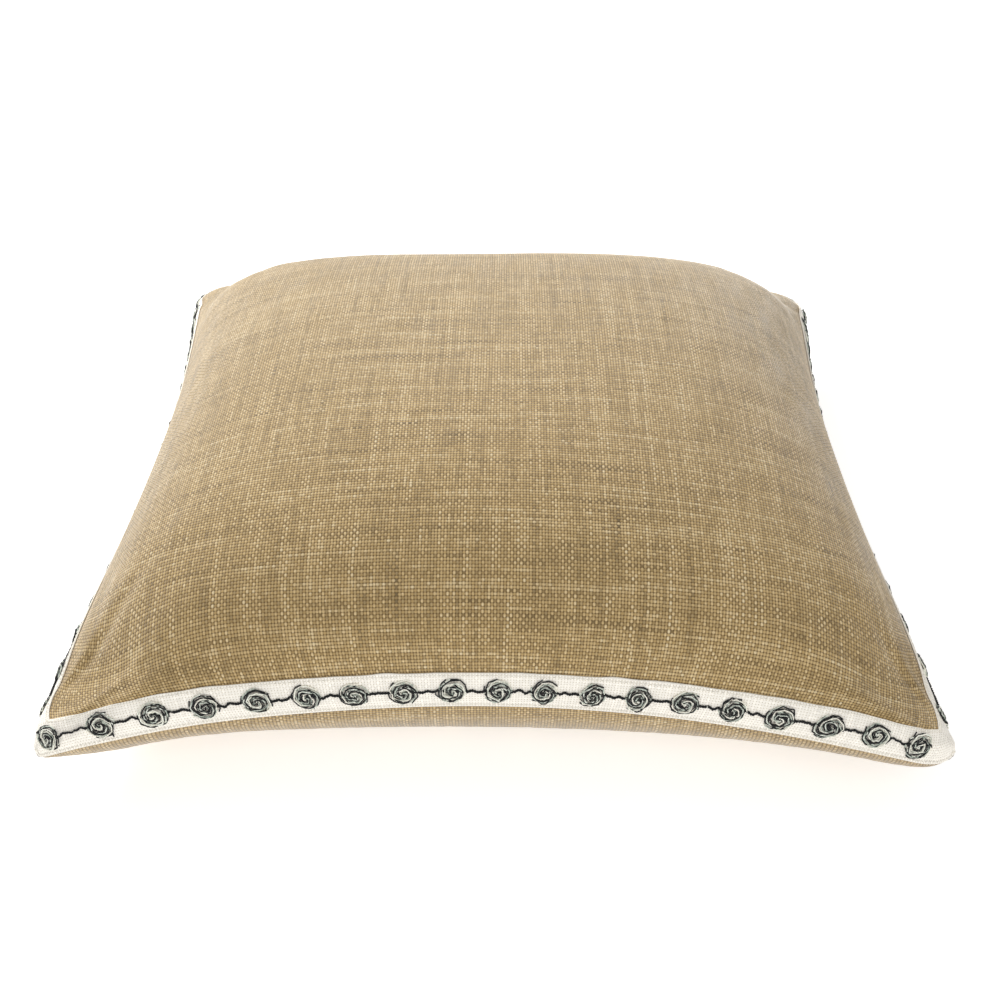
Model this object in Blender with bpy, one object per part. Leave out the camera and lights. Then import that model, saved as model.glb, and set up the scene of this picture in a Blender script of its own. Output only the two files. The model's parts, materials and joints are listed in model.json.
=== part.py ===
"""Square knife-edge floor cushion with a woven trim band and rosettes.

Metres, +Z up. The origin is the middle of the resting face, on the floor. The front edge
faces -Y and the zip is near the back edge, on the underside.

The filled cover is one smooth form. A point on it has two shares, u along X and v along Y,
each from -1 at one seam to +1 at the other. The trim, the stitches and the rosettes are laid
out on the flat cloth and carried onto that form.
"""
import math

import bmesh
import bpy
import numpy as np

# Filled cover
CORNER_HALF = 0.308          # centre to the seam line at a corner, along X or Y
EDGE_DRAW = 0.0415           # how far the filling draws in the middle of each edge
CORNER_BLUNTING = 0.045      # share by which the tips of the corners are blunted
CORNER_SHARPNESS = 16        # how close to the tip the blunting stays
SEAM_HEIGHT = 0.059          # seam above the floor in the middle of an edge
CORNER_DROP = 0.019          # how much lower the seam lies at a corner
CROWN_RISE = 0.121           # top of the crown above the seam
CROWN_FULLNESS = 0.37        # power of the crown: smaller is boxier
BELLY_DEPTH = 0.093          # drop of the underside below the seam, were there no floor
BELLY_FULLNESS = 0.5         # power of the belly

# Cloth and the gaps between pieces
CLOTH_GATHER = 0.044         # cloth from seam to seam, more than the corners span
COVER_THICKNESS = 0.0012
SEAM_GAP = 0.0005            # between two panels that are sewn edge to edge
PIECE_GAP = 0.0003           # between two pieces that touch

# Trim band, its stitches and its rosettes
BAND_WIDTH = 0.028
BAND_THICKNESS = 0.0009
BAND_STITCH_MARGIN = 0.0020  # stitch row to the edge of the band
THREAD_WIDTH = 0.0006
ROSETTES_PER_SIDE = 18.5     # pitches from corner to corner, so two corners carry a rosette
ROSETTE_RADIUS = 0.0100
ROSETTE_HEIGHT = 0.0026
ROSETTE_CLEARANCE = 0.0018   # the rosette's back over the curved band
LINK_WIDTH = 0.0016          # twisted thread from rosette to rosette
LINK_HEIGHT = 0.0009

# Zip in the back of the underside
ZIP_LENGTH = 0.360           # between the stops
ZIP_FROM_SEAM = 0.0210       # teeth to the middle of the back seam, level
ZIP_BELOW_SEAM = 0.0365      # cover's outer face at the teeth, below that seam
ZIP_TILT = math.radians(42)  # cover's slope there, rising towards the back
ZIP_REACH = 0.016            # flat cloth on each side of the teeth, down the slope
ZIP_FADE = 0.028             # distance over which the flat strip dies out
SLOT_HALF = 0.0065           # teeth to the folded edge of the cover
TAPE_WIDTH = 0.0115
TAPE_THICKNESS = 0.0006
TAPE_TAIL = 0.009            # tape past each stop
COIL_WIDTH = 0.0024          # one row of teeth
COIL_THICKNESS = 0.0021
TOOTH_GAP = 0.0003           # between the two rows
STITCH_FROM_FOLD = 0.0035    # zip stitch row to the folded edge

# Slider and its puller
SLIDER_LENGTH = 0.0105
SLIDER_WIDTH = 0.0092
SLIDER_TAIL_WIDTH = 0.0076
PLATE_THICKNESS = 0.0008
PLATE_CLEARANCE = 0.0005     # slider plate over the teeth
FLANGE_THICKNESS = 0.0006
FLANGE_CLEARANCE = 0.0003    # flange over the tape
POST_LENGTH = 0.0030
POST_WIDTH = 0.0020
PIN_RADIUS = 0.0006
PIN_CLEARANCE = 0.0003
EYE_WALL = 0.0007
LUG_THICKNESS = 0.0007
LUG_CLEARANCE = 0.0003
PULLER_LENGTH = 0.0185       # pin to tip
PULLER_WIDTH = 0.0052
PULLER_THICKNESS = 0.0011
NECK_LENGTH = 0.0030         # narrow part of the puller that passes the lugs
GRIP_HOLE_RADIUS = 0.0011
STOP_LENGTH = 0.0022
STOP_THICKNESS = 0.0026

# Insert
INSERT_EDGE_GAP = 0.0120     # seam of the cover to the seam of the insert
INSERT_SLACK = 0.0010        # cover to insert, over the crown and on the floor
INSERT_BELLY_SLACK = 0.0110  # how much shallower the insert's belly is than the cover's
CASING_THICKNESS = 0.0006
FILL_SLACK = 0.0004          # casing to filling
ZIP_POCKET = 0.0085          # cover's outer face at the zip to the insert behind it
SEAM_THREAD_INSET = 0.0042   # lock stitch that joins the panels, inside the seam

# How finely the forms are divided
TOP_CELLS = 22
BAND_RINGS = 3
BELLY_COLUMNS = 12
BELLY_ROWS = 10
BACK_ROWS = 4
SEAM_THREAD_CELLS = 16
ROUND_SIDES = 10

DRAW_SHARE = EDGE_DRAW / CORNER_HALF
FLAT_SIDE = 2 * CORNER_HALF + CLOTH_GATHER
ZIP_Y = CORNER_HALF - EDGE_DRAW - ZIP_FROM_SEAM
ZIP_Z = SEAM_HEIGHT - ZIP_BELOW_SEAM
ZIP_HALF = ZIP_LENGTH / 2
SIDES = ("front", "right", "back", "left")
TAPE_LIFT = -(COVER_THICKNESS + PIECE_GAP + TAPE_THICKNESS / 2)
TAPE_INNER = TOOTH_GAP / 2 + COIL_WIDTH + PIECE_GAP


def clear_scene():
    """Remove whatever the scene holds."""
    for item in list(bpy.data.objects):
        bpy.data.objects.remove(item, do_unlink=True)


def make_material(name, colour, roughness, metallic=0.0):
    """A Principled material with one colour."""
    material = bpy.data.materials.new(name)
    material.use_nodes = True
    shader = material.node_tree.nodes["Principled BSDF"]
    shader.inputs["Base Color"].default_value = (*colour, 1.0)
    shader.inputs["Roughness"].default_value = roughness
    shader.inputs["Metallic"].default_value = metallic
    return material


def add_object(name, points, faces, material):
    """A mesh object from points and faces, with its normals turned outwards."""
    mesh = bpy.data.meshes.new(name)
    mesh.from_pydata([tuple(map(float, point)) for point in points], [], faces)
    shape = bmesh.new()
    shape.from_mesh(mesh)
    bmesh.ops.recalc_face_normals(shape, faces=shape.faces)
    if shape.calc_volume(signed=True) < 0:
        bmesh.ops.reverse_faces(shape, faces=shape.faces)
    shape.to_mesh(mesh)
    shape.free()
    mesh.materials.append(material)
    item = bpy.data.objects.new(name, mesh)
    bpy.context.scene.collection.objects.link(item)
    return item


# The filled form ---------------------------------------------------------------------------

def plan(u, v, half):
    """X and Y of a point: straight sides drawn in at mid-edge, tips blunted."""
    blunt = 1 - CORNER_BLUNTING * np.abs(u * v) ** CORNER_SHARPNESS
    x = half * u * (1 - DRAW_SHARE * (1 - v * v) * u * u) * blunt
    y = half * v * (1 - DRAW_SHARE * (1 - u * u) * v * v) * blunt
    return x, y


def fullness(u, v):
    """1 in the middle of the cushion and 0 along its seam."""
    return np.clip((1 - u * u) * (1 - v * v), 0, 1)


def seam_height(u, v):
    """Height of the seam, which sags towards the corners."""
    return SEAM_HEIGHT - CORNER_DROP * (u * v) ** 2


def crown(u, v, half=CORNER_HALF, rise=CROWN_RISE):
    """Points on the top of the form."""
    x, y = plan(u, v, half)
    z = seam_height(u, v) + rise * fullness(u, v) ** CROWN_FULLNESS
    return np.stack([x, y, z], axis=-1)


def smooth(share):
    """Ease from 0 to 1."""
    share = np.clip(share, 0, 1)
    return share * share * (3 - 2 * share)


def zip_weight(x, y, seam_y):
    """1 on the flat strip that the zip holds, fading to 0 around it and at the seam."""
    reach = ZIP_REACH * math.cos(ZIP_TILT)
    ends = smooth((ZIP_HALF + ZIP_REACH + ZIP_FADE - np.abs(x)) / ZIP_FADE)
    front = smooth((y - ZIP_Y + reach + ZIP_FADE) / ZIP_FADE)
    strip_end = ZIP_Y + reach
    back = 1 - np.clip((y - strip_end) / np.maximum(seam_y - strip_end, SEAM_GAP), 0, 1)
    return ends * front * back


def belly(u, v, half=CORNER_HALF, depth=BELLY_DEPTH, floor=0.0, pocket=None):
    """Points on the underside: flat on the floor, and flat on a slope along the zip.

    pocket is how far an inner form keeps behind the zip; the cover itself has none.
    """
    x, y = plan(u, v, half)
    z = seam_height(u, v) - depth * fullness(u, v) ** BELLY_FULLNESS
    z = np.maximum(z, floor)
    slope = ZIP_Z + math.tan(ZIP_TILT) * (y - ZIP_Y)
    seam_y = plan(u, np.ones_like(v), CORNER_HALF)[1]
    weight = zip_weight(x, y, seam_y)
    if pocket is None:
        z = z + weight * (slope - z)
    else:
        slope = slope + pocket / math.cos(ZIP_TILT)
        roof = seam_height(u, v)
        z = z + weight * np.clip(slope - z, 0, np.maximum(roof - z, 0))
    return np.stack([x, y, np.maximum(z, floor)], axis=-1)


def grid_normals(points, upward):
    """Unit normals of a grid of points, level along its outer edge so that rims meet."""
    along = np.gradient(points, axis=0)
    across = np.gradient(points, axis=1)
    normals = np.cross(along, across)
    normals *= np.where(normals[..., 2:] * upward < 0, -1, 1)
    return normals / np.linalg.norm(normals, axis=-1, keepdims=True)


def level_normals(normals, edges):
    """Make the normals along the named grid edges point straight out from the middle."""
    spans = {"left": np.s_[0, :], "right": np.s_[-1, :], "front": np.s_[:, 0], "back": np.s_[:, -1]}
    outward = {"left": (-1, 0), "right": (1, 0), "front": (0, -1), "back": (0, 1)}
    for edge in edges:
        normals[spans[edge]] = 0
    for edge in edges:
        normals[spans[edge]] += np.array((*outward[edge], 0.0))
    return normals / np.linalg.norm(normals, axis=-1, keepdims=True)


# Sheets ------------------------------------------------------------------------------------

def split_cell(i, j, columns, rows):
    """The two triangles of a cell, split along the line that runs to the nearest corner."""
    low_left, low_right = (i, j), (i + 1, j)
    high_left, high_right = (i, j + 1), (i + 1, j + 1)
    if (i + 0.5 - columns / 2) * (j + 0.5 - rows / 2) > 0:
        return (low_left, low_right, high_right), (low_left, high_right, high_left)
    return (low_left, low_right, high_left), (low_right, high_right, high_left)


def closed_sheet(name, outer, inner, triangles, material):
    """A sheet with thickness: an outer and an inner skin, joined along their open edges."""
    used = sorted({corner for triangle in triangles for corner in triangle})
    place = {corner: k for k, corner in enumerate(used)}
    count = len(used)
    points = [outer[corner] for corner in used] + [inner[corner] for corner in used]
    faces = []
    edges = {}
    for triangle in triangles:
        a, b, c = (place[corner] for corner in triangle)
        faces.append((a, b, c))
        faces.append((c + count, b + count, a + count))
        for start, end in ((a, b), (b, c), (c, a)):
            edges[(start, end)] = edges.get((start, end), 0) + 1
    for start, end in edges:
        if (end, start) not in edges:
            faces.append((end, start, start + count))
            faces.append((end, start + count, end + count))
    return add_object(name, points, faces, material)


def all_cells(columns, rows):
    """Every triangle of a grid."""
    return [triangle for i in range(columns) for j in range(rows)
            for triangle in split_cell(i, j, columns, rows)]


# The top panel's grid follows the trim band ----------------------------------------------------

def spread(share):
    """Columns crowd a little towards the corners, where the form turns fastest."""
    return share * (1.25 - 0.25 * share * share)


def share_at_depth(u, depth):
    """The v at which the cloth is depth from the seam, measured over the crown at column u."""
    shares = 1 - 0.6 * np.linspace(0, 1, 240) ** 3
    line = crown(np.full_like(shares, u), shares)
    steps = np.linalg.norm(np.diff(line, axis=0), axis=1)
    run = np.concatenate([[0.0], np.cumsum(steps)])
    return float(np.interp(depth, run, shares))


def mitre_share(depth):
    """The share u = v where the line at that depth turns the corner."""
    low, high = 0.5, 1.0
    for _ in range(40):
        middle = (low + high) / 2
        if share_at_depth(middle, depth) > middle:
            low = middle
        else:
            high = middle
    return (low + high) / 2


def ring_depth(ring):
    """Distance of a ring of the grid from the seam, on the flat cloth."""
    return BAND_WIDTH * ring / BAND_RINGS


def top_shares():
    """u and v of the top grid: rings at even depths under the band, then an even net."""
    size = TOP_CELLS + 1
    u = np.zeros((size, size))
    v = np.zeros((size, size))
    turns = [1.0] + [mitre_share(ring_depth(ring)) for ring in range(1, BAND_RINGS + 1)]
    for i in range(size):
        for j in range(size):
            ring = min(i, TOP_CELLS - i, j, TOP_CELLS - j, BAND_RINGS)
            span = TOP_CELLS - 2 * ring
            a = spread((2 * i - TOP_CELLS) / span)
            b = spread((2 * j - TOP_CELLS) / span)
            depth = ring_depth(ring)
            u[i, j] = a * share_at_depth(abs(b) * turns[ring], depth) if ring else a
            v[i, j] = b * share_at_depth(abs(a) * turns[ring], depth) if ring else b
    return u, v


class TopCloth:
    """The filled top with a way to find any point of the flat cloth on it."""

    def __init__(self):
        u, v = top_shares()
        self.points = crown(u, v)
        normals = grid_normals(self.points, 1)
        self.normals = level_normals(normals, SIDES)
        table = np.linspace(-1, 1, 401)
        self.table = table
        self.spread_table = spread(table)

    def layer(self, lift):
        """The grid raised along its normals."""
        return self.points + self.normals * lift

    def cell(self, x, y):
        """Grid position, in cells, of a point of the flat cloth."""
        half = FLAT_SIDE / 2
        depth = half - max(abs(x), abs(y))
        ring = min(max(depth, 0.0) / BAND_WIDTH, 1.0) * BAND_RINGS
        inner = half - ring_depth(ring)
        span = TOP_CELLS / 2 - ring
        a = np.interp(x / inner, self.spread_table, self.table)
        b = np.interp(y / inner, self.spread_table, self.table)
        return TOP_CELLS / 2 + span * a, TOP_CELLS / 2 + span * b

    def at(self, x, y, lift):
        """Point over the flat cloth's (x, y), on the flat triangle that is there."""
        i, j = self.cell(x, y)
        column = int(min(max(i, 0), TOP_CELLS - 1e-6))
        row = int(min(max(j, 0), TOP_CELLS - 1e-6))
        grid = self.layer(lift)
        across, up = i - column, j - row
        same_side = (column + 0.5 - TOP_CELLS / 2) * (row + 0.5 - TOP_CELLS / 2) > 0
        low_left, low_right = grid[column, row], grid[column + 1, row]
        high_left, high_right = grid[column, row + 1], grid[column + 1, row + 1]
        if same_side and across >= up:
            return low_left + across * (low_right - low_left) + up * (high_right - low_right)
        if same_side:
            return low_left + up * (high_left - low_left) + across * (high_right - high_left)
        if across + up <= 1:
            return low_left + across * (low_right - low_left) + up * (high_left - low_left)
        return high_right + (1 - across) * (high_left - high_right) + (1 - up) * (low_right - high_right)


def turned(side, along, inward):
    """Flat-cloth x and y of a point inward from a side's seam, 0 being the middle of it."""
    reach = inward - FLAT_SIDE / 2
    turns = {"front": (along, reach), "right": (-reach, along),
             "back": (-along, -reach), "left": (reach, -along)}
    return turns[side]


def make_top_panel(cloth, material):
    """Woven top panel, seam to seam."""
    closed_sheet("top_panel", cloth.layer(0), cloth.layer(-COVER_THICKNESS),
                 all_cells(TOP_CELLS, TOP_CELLS), material)


def band_cells(side):
    """Triangles of one mitred length of band."""
    chosen = []
    for triangle in all_cells(TOP_CELLS, TOP_CELLS):
        middle = np.mean(triangle, axis=0) - TOP_CELLS / 2
        depth = TOP_CELLS / 2 - max(abs(middle[0]), abs(middle[1]))
        if depth > BAND_RINGS:
            continue
        if abs(middle[0]) > abs(middle[1]):
            owner = "right" if middle[0] > 0 else "left"
        else:
            owner = "back" if middle[1] > 0 else "front"
        if owner == side:
            chosen.append(triangle)
    return chosen


def make_bands(cloth, material):
    """Four lengths of trim band, mitred at the corners."""
    away = {"front": (1, 0), "right": (0, 1), "back": (-1, 0), "left": (0, -1)}
    for side in SIDES:
        lower = cloth.layer(PIECE_GAP).copy()
        upper = cloth.layer(PIECE_GAP + BAND_THICKNESS).copy()
        step = np.array((*away[side], 0.0)) * PIECE_GAP
        for ring in range(BAND_RINGS + 1):
            for i in (ring, TOP_CELLS - ring):
                for j in (ring, TOP_CELLS - ring):
                    middle = np.array((i, j, 0)) - np.array((TOP_CELLS / 2, TOP_CELLS / 2, 0))
                    sign = -np.sign(np.dot(middle, step))
                    lower[i, j] += sign * step
                    upper[i, j] += sign * step
        closed_sheet("trim_band_" + side, upper, lower, band_cells(side), material)


def make_strand(name, stations, material, closed=False):
    """A strand from its stations, each a ring of the same number of points."""
    sides = len(stations[0])
    points = [point for station in stations for point in station]
    count = len(stations)
    faces = []
    for k in range(count if closed else count - 1):
        here, ahead = sides * k, sides * ((k + 1) % count)
        for corner in range(sides):
            beside = (corner + 1) % sides
            faces.append((here + corner, here + beside, ahead + beside, ahead + corner))
    if not closed:
        faces.append(tuple(reversed(range(sides))))
        faces.append(tuple(sides * (count - 1) + corner for corner in range(sides)))
    return add_object(name, points, faces, material)


def make_band_thread(cloth, name, inward, material):
    """One row of stitching that runs round the band, as a thin strand.

    It has a station wherever it crosses a fold between two flat triangles of the cloth.
    """
    lift = PIECE_GAP + BAND_THICKNESS + PIECE_GAP
    ring = inward / BAND_WIDTH * BAND_RINGS
    part = ring - int(ring)
    span = TOP_CELLS - 2 * ring
    folds = [column for column in range(1, TOP_CELLS)]
    folds += [column + part for column in range(TOP_CELLS // 2)]
    folds += [column + 1 - part for column in range(TOP_CELLS // 2, TOP_CELLS)]
    folds = sorted(fold for fold in folds if ring + 0.01 < fold < TOP_CELLS - ring - 0.01)
    places = [-1.0] + [float(spread((2 * fold - TOP_CELLS) / span)) for fold in folds]
    half = FLAT_SIDE / 2 - inward
    skew = THREAD_WIDTH / 2
    stations = []
    for side in SIDES:
        for place in places:
            slide = skew if place == -1.0 else 0.0
            low = turned(side, place * half - slide, inward - skew)
            high = turned(side, place * half + slide, inward + skew)
            middle = turned(side, place * half, inward)
            stations.append((cloth.at(*low, lift), cloth.at(*high, lift),
                             cloth.at(*middle, lift + THREAD_WIDTH)))
    make_strand(name, stations, material, closed=True)


def make_rosette_chain(cloth, side, material):
    """The rosettes of one side and the twisted thread that links them."""
    base = PIECE_GAP + BAND_THICKNESS + ROSETTE_CLEARANCE
    inward = BAND_WIDTH / 2
    run = FLAT_SIDE - BAND_WIDTH
    pitch = run / ROSETTES_PER_SIDE
    leads = side in ("front", "back")
    first = 0.0 if leads else pitch / 2
    centres = [first + k * pitch for k in range(int((run - first) / pitch - 0.01) + 1)]
    outline = ((-1.0, 0.0, 0.0), (-0.68, 0.76, 0.85), (0.0, 1.0, 1.0), (0.68, 0.76, 0.85),
               (1.0, 0.0, 0.0))
    section = ((-0.8, 0.0), (0.0, 0.0), (0.8, 0.0), (1.0, 0.5), (0.0, 1.0), (-1.0, 0.5))
    rows = []
    if not leads:
        rows.append((LINK_WIDTH / 2 + 2 * PIECE_GAP, LINK_WIDTH / 2, LINK_HEIGHT))
    for centre in centres:
        for step, width, height in outline:
            rows.append((centre + step * ROSETTE_RADIUS,
                         LINK_WIDTH / 2 + width * (ROSETTE_RADIUS - LINK_WIDTH / 2),
                         LINK_HEIGHT + height * (ROSETTE_HEIGHT - LINK_HEIGHT)))
    end = run + LINK_WIDTH / 2 if leads else run - ROSETTE_RADIUS - PIECE_GAP
    rows.append((end, LINK_WIDTH / 2, LINK_HEIGHT))
    stations = []
    for reach, half_width, height in rows:
        along = reach - run / 2
        station = []
        for share, lift in section:
            place = turned(side, along, inward + share * half_width)
            station.append(cloth.at(*place, base + lift * height))
        stations.append(station)
    make_strand("rosettes_" + side, stations, material)


# The underside ---------------------------------------------------------------------------------

def share_at_y(u, y):
    """The v at which column u crosses a line parallel to the front edge."""
    shares = np.linspace(-1, 1, 801)
    return float(np.interp(y, plan(np.full_like(shares, u), shares, CORNER_HALF)[1], shares))


def share_at_x(x):
    """The u of a place along the zip."""
    shares = np.linspace(-1, 1, 801)
    beside = np.array([share_at_y(share, ZIP_Y) for share in shares])
    return float(np.interp(x, plan(shares, beside, CORNER_HALF)[0], shares))


def belly_columns():
    """u of the underside's columns: crowded at the sides, with stops at the zip's ends."""
    stops = [share_at_x(sign * (ZIP_HALF + past))
             for sign in (-1, 1) for past in (0.0, TAPE_TAIL / 2, ZIP_REACH)]
    even = np.sin(np.linspace(-1, 1, BELLY_COLUMNS + 1) * math.pi / 2)
    spaced = [share for share in even if min(abs(share - stop) for stop in stops) > 0.04]
    return np.array(sorted(spaced + stops))


def slot_half(x):
    """Half the opening between the two folded edges, down the slope."""
    share = (abs(x) - ZIP_HALF) / (TAPE_TAIL / 2)
    return SLOT_HALF + (SEAM_GAP / 2 - SLOT_HALF) * float(np.clip(share, 0, 1))


def belly_rows(u):
    """v of the front part's rows and of the back part's rows at one column."""
    line = share_at_y(u, ZIP_Y)
    x = float(plan(np.array(u), np.array(line), CORNER_HALF)[0])
    reach = ZIP_REACH * math.cos(ZIP_TILT)
    fold = slot_half(x) * math.cos(ZIP_TILT)
    strip_front = share_at_y(u, ZIP_Y - reach)
    turn = math.asin(strip_front)
    front = [math.sin(-math.pi / 2 + (turn + math.pi / 2) * k / BELLY_ROWS)
             for k in range(BELLY_ROWS + 1)]
    front.append(share_at_y(u, ZIP_Y - fold))
    turn = math.asin(share_at_y(u, ZIP_Y + reach))
    back = [share_at_y(u, ZIP_Y + fold)]
    back += [math.sin(turn + (math.pi / 2 - turn) * k / BACK_ROWS) for k in range(BACK_ROWS + 1)]
    return front, back


def make_bottom_panels(material):
    """Two panels of the underside, sewn together past the ends of the zip."""
    columns = belly_columns()
    rows = [belly_rows(float(u)) for u in columns]
    for name, part, edges in (("bottom_panel_main", 0, ("left", "right", "front")),
                              ("bottom_panel_back", 1, ("left", "right", "back"))):
        v = np.array([row[part] for row in rows])
        u = np.repeat(columns[:, None], v.shape[1], axis=1)
        outer = belly(u, v)
        outer[..., 2] -= np.where(fullness(u, v) == 0, SEAM_GAP, 0)
        normals = grid_normals(outer, -1)
        flat = outer[..., 2] < 1e-9
        normals[flat] = (0, 0, -1)
        strip = zip_weight(outer[..., 0], outer[..., 1], np.full_like(v, CORNER_HALF)) > 0.999
        near = np.abs(outer[..., 1] - ZIP_Y) <= ZIP_REACH * math.cos(ZIP_TILT) + 1e-6
        normals[strip & near] = (0, math.sin(ZIP_TILT), -math.cos(ZIP_TILT))
        normals = level_normals(normals, edges)
        inner = outer - normals * COVER_THICKNESS
        closed_sheet(name, outer, inner, all_cells(v.shape[0] - 1, v.shape[1] - 1), material)


# The zip ------------------------------------------------------------------------------------------

def zip_place(x, across, out):
    """A point by its place along the zip, up the slope, and out from the cover's outer face."""
    rise = np.array((0.0, math.cos(ZIP_TILT), math.sin(ZIP_TILT)))
    away = np.array((0.0, math.sin(ZIP_TILT), -math.cos(ZIP_TILT)))
    return np.array((x, ZIP_Y, ZIP_Z)) + across * rise + out * away


def prism(outline, low, high, axis="out"):
    """Points and faces of an outline given a thickness along one of the zip's directions."""
    points = []
    for level in (low, high):
        for first, second in outline:
            if axis == "out":
                points.append(zip_place(first, second, level))
            else:
                points.append(zip_place(first, level, second))
    count = len(outline)
    faces = [tuple(range(count)), tuple(range(2 * count - 1, count - 1, -1))]
    for k in range(count):
        beside = (k + 1) % count
        faces.append((k, beside, count + beside, count + k))
    return points, faces


def block(x_low, x_high, across_low, across_high, out_low, out_high):
    """A block in the zip's directions."""
    outline = ((x_low, across_low), (x_high, across_low), (x_high, across_high), (x_low, across_high))
    return prism(outline, out_low, out_high)


def circle(x, out, radius, sides=ROUND_SIDES):
    """Outline of a round bar that lies across the zip."""
    angles = [2 * math.pi * (k + 0.5) / sides for k in range(sides)]
    return [(x + radius * math.cos(angle), out + radius * math.sin(angle)) for angle in angles]


def fuse(name, shapes, cuts, material):
    """One solid from several shapes, less the cuts, with its mesh about the world origin."""
    base = add_object(name, *shapes[0], material)
    helpers = []
    for number, (shape, operation) in enumerate([(s, "UNION") for s in shapes[1:]]
                                                + [(c, "DIFFERENCE") for c in cuts]):
        helper = add_object(name + "_shape_" + str(number), *shape, material)
        helpers.append(helper)
        change = base.modifiers.new("fuse", "BOOLEAN")
        change.object = helper
        change.operation = operation
        change.solver = "EXACT"
    bpy.context.view_layer.update()
    finished = bpy.data.meshes.new_from_object(base.evaluated_get(bpy.context.evaluated_depsgraph_get()))
    base.modifiers.clear()
    base.data = finished
    for helper in helpers:
        bpy.data.objects.remove(helper, do_unlink=True)
    return base


def move_origin(item, origin):
    """Put an object's origin at a place without moving its shape."""
    for vertex in item.data.vertices:
        vertex.co -= vertex.co.__class__(tuple(map(float, origin)))
    item.location = tuple(map(float, origin))


def make_tapes(material):
    """Two woven tapes behind the folded edges."""
    for name, sign in (("zip_tape_main", -1), ("zip_tape_back", 1)):
        near, far = sorted((sign * TAPE_INNER, sign * (TAPE_INNER + TAPE_WIDTH)))
        end = ZIP_HALF + TAPE_TAIL
        shape = block(-end, end, near, far, TAPE_LIFT - TAPE_THICKNESS / 2, TAPE_LIFT + TAPE_THICKNESS / 2)
        add_object(name, *shape, material)


def slider_post_back():
    """Where the slider's dividing post begins, in the closed place."""
    return ZIP_HALF - STOP_LENGTH - PIECE_GAP - POST_LENGTH - PIECE_GAP


def make_coils(material):
    """Two rows of nylon teeth along the tapes' inner edges."""
    start = -ZIP_HALF + STOP_LENGTH + PIECE_GAP
    end = slider_post_back() - PIECE_GAP
    low, high = TAPE_LIFT - COIL_THICKNESS / 2, TAPE_LIFT + COIL_THICKNESS / 2
    for name, sign in (("zip_coil_main", -1), ("zip_coil_back", 1)):
        near, far = sorted((sign * TOOTH_GAP / 2, sign * (TOOTH_GAP / 2 + COIL_WIDTH)))
        add_object(name, *block(start, end, near, far, low, high), material)


def make_stops(material):
    """One stop across both rows at the open end, and one on each row at the closed end."""
    low, high = TAPE_LIFT - STOP_THICKNESS / 2, TAPE_LIFT + STOP_THICKNESS / 2
    width = TOOTH_GAP / 2 + COIL_WIDTH
    add_object("zip_bottom_stop", *block(-ZIP_HALF, -ZIP_HALF + STOP_LENGTH, -width, width, low, high),
               material)
    for name, sign in (("zip_top_stop_main", -1), ("zip_top_stop_back", 1)):
        near, far = sorted((sign * (POST_WIDTH / 2 + PIECE_GAP), sign * width))
        add_object(name, *block(ZIP_HALF - STOP_LENGTH, ZIP_HALF, near, far, low, high), material)


def pin_out():
    """Height of the puller's pin over the cover's outer face."""
    plate_face = TAPE_LIFT + COIL_THICKNESS / 2 + PLATE_CLEARANCE + PLATE_THICKNESS
    return plate_face + PIECE_GAP + PIN_RADIUS + PIN_CLEARANCE + EYE_WALL


def slider_middle():
    """Middle of the slider, in the closed place."""
    return slider_post_back() + POST_LENGTH - SLIDER_LENGTH / 2 + POST_LENGTH / 3


def make_slider(material):
    """Two plates joined by a post between the rows of teeth, with flanges and a pin."""
    middle = slider_middle()
    back, front = middle - SLIDER_LENGTH / 2, middle + SLIDER_LENGTH / 2
    wide, narrow = SLIDER_WIDTH / 2, SLIDER_TAIL_WIDTH / 2
    nose = 0.8 * wide
    outline = ((back, -narrow), (middle, -wide), (front - 0.0012, -wide), (front, -nose),
               (front, nose), (front - 0.0012, wide), (middle, wide), (back, narrow))
    face_low = TAPE_LIFT + COIL_THICKNESS / 2 + PLATE_CLEARANCE
    face_high = face_low + PLATE_THICKNESS
    rear_high = TAPE_LIFT - COIL_THICKNESS / 2 - PLATE_CLEARANCE
    rear_low = rear_high - PLATE_THICKNESS
    overlap = PLATE_THICKNESS / 2
    post = slider_post_back() + PIECE_GAP / 2
    post_tip = min(post + POST_LENGTH, front - overlap)
    post_outline = ((post, -POST_WIDTH / 5), (post + POST_LENGTH / 2, -POST_WIDTH / 2),
                    (post_tip, -POST_WIDTH / 2), (post_tip, POST_WIDTH / 2),
                    (post + POST_LENGTH / 2, POST_WIDTH / 2), (post, POST_WIDTH / 5))
    shapes = [prism(outline, face_low, face_high), prism(outline, rear_low, rear_high),
              prism(post_outline, rear_high - overlap, face_low + overlap)]
    tape_face = TAPE_LIFT + TAPE_THICKNESS / 2 + FLANGE_CLEARANCE
    tape_rear = TAPE_LIFT - TAPE_THICKNESS / 2 - FLANGE_CLEARANCE
    for sign in (-1, 1):
        near, far = sorted((sign * (narrow - FLANGE_THICKNESS), sign * narrow))
        shapes.append(block(back + overlap, front - 0.002, near, far, tape_face, face_low + overlap))
        shapes.append(block(back + overlap, front - 0.002, near, far, rear_high - overlap, tape_rear))
        eye_half = PULLER_WIDTH * 0.26
        near, far = sorted((sign * (eye_half + LUG_CLEARANCE), sign * (eye_half + LUG_CLEARANCE + LUG_THICKNESS)))
        lug = ((middle - 0.0018, face_high - overlap), (middle + 0.0018, face_high - overlap),
               (middle + 0.0010, pin_out() + PIN_RADIUS + 0.0004),
               (middle - 0.0010, pin_out() + PIN_RADIUS + 0.0004))
        shapes.append(prism(lug, near, far, axis="across"))
    bar = eye_half + LUG_CLEARANCE + LUG_THICKNESS / 2
    shapes.append(prism(circle(middle, pin_out(), PIN_RADIUS), -bar, bar, axis="across"))
    item = fuse("zip_slider", shapes, [], material)
    move_origin(item, zip_place(middle, 0.0, TAPE_LIFT))


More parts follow.
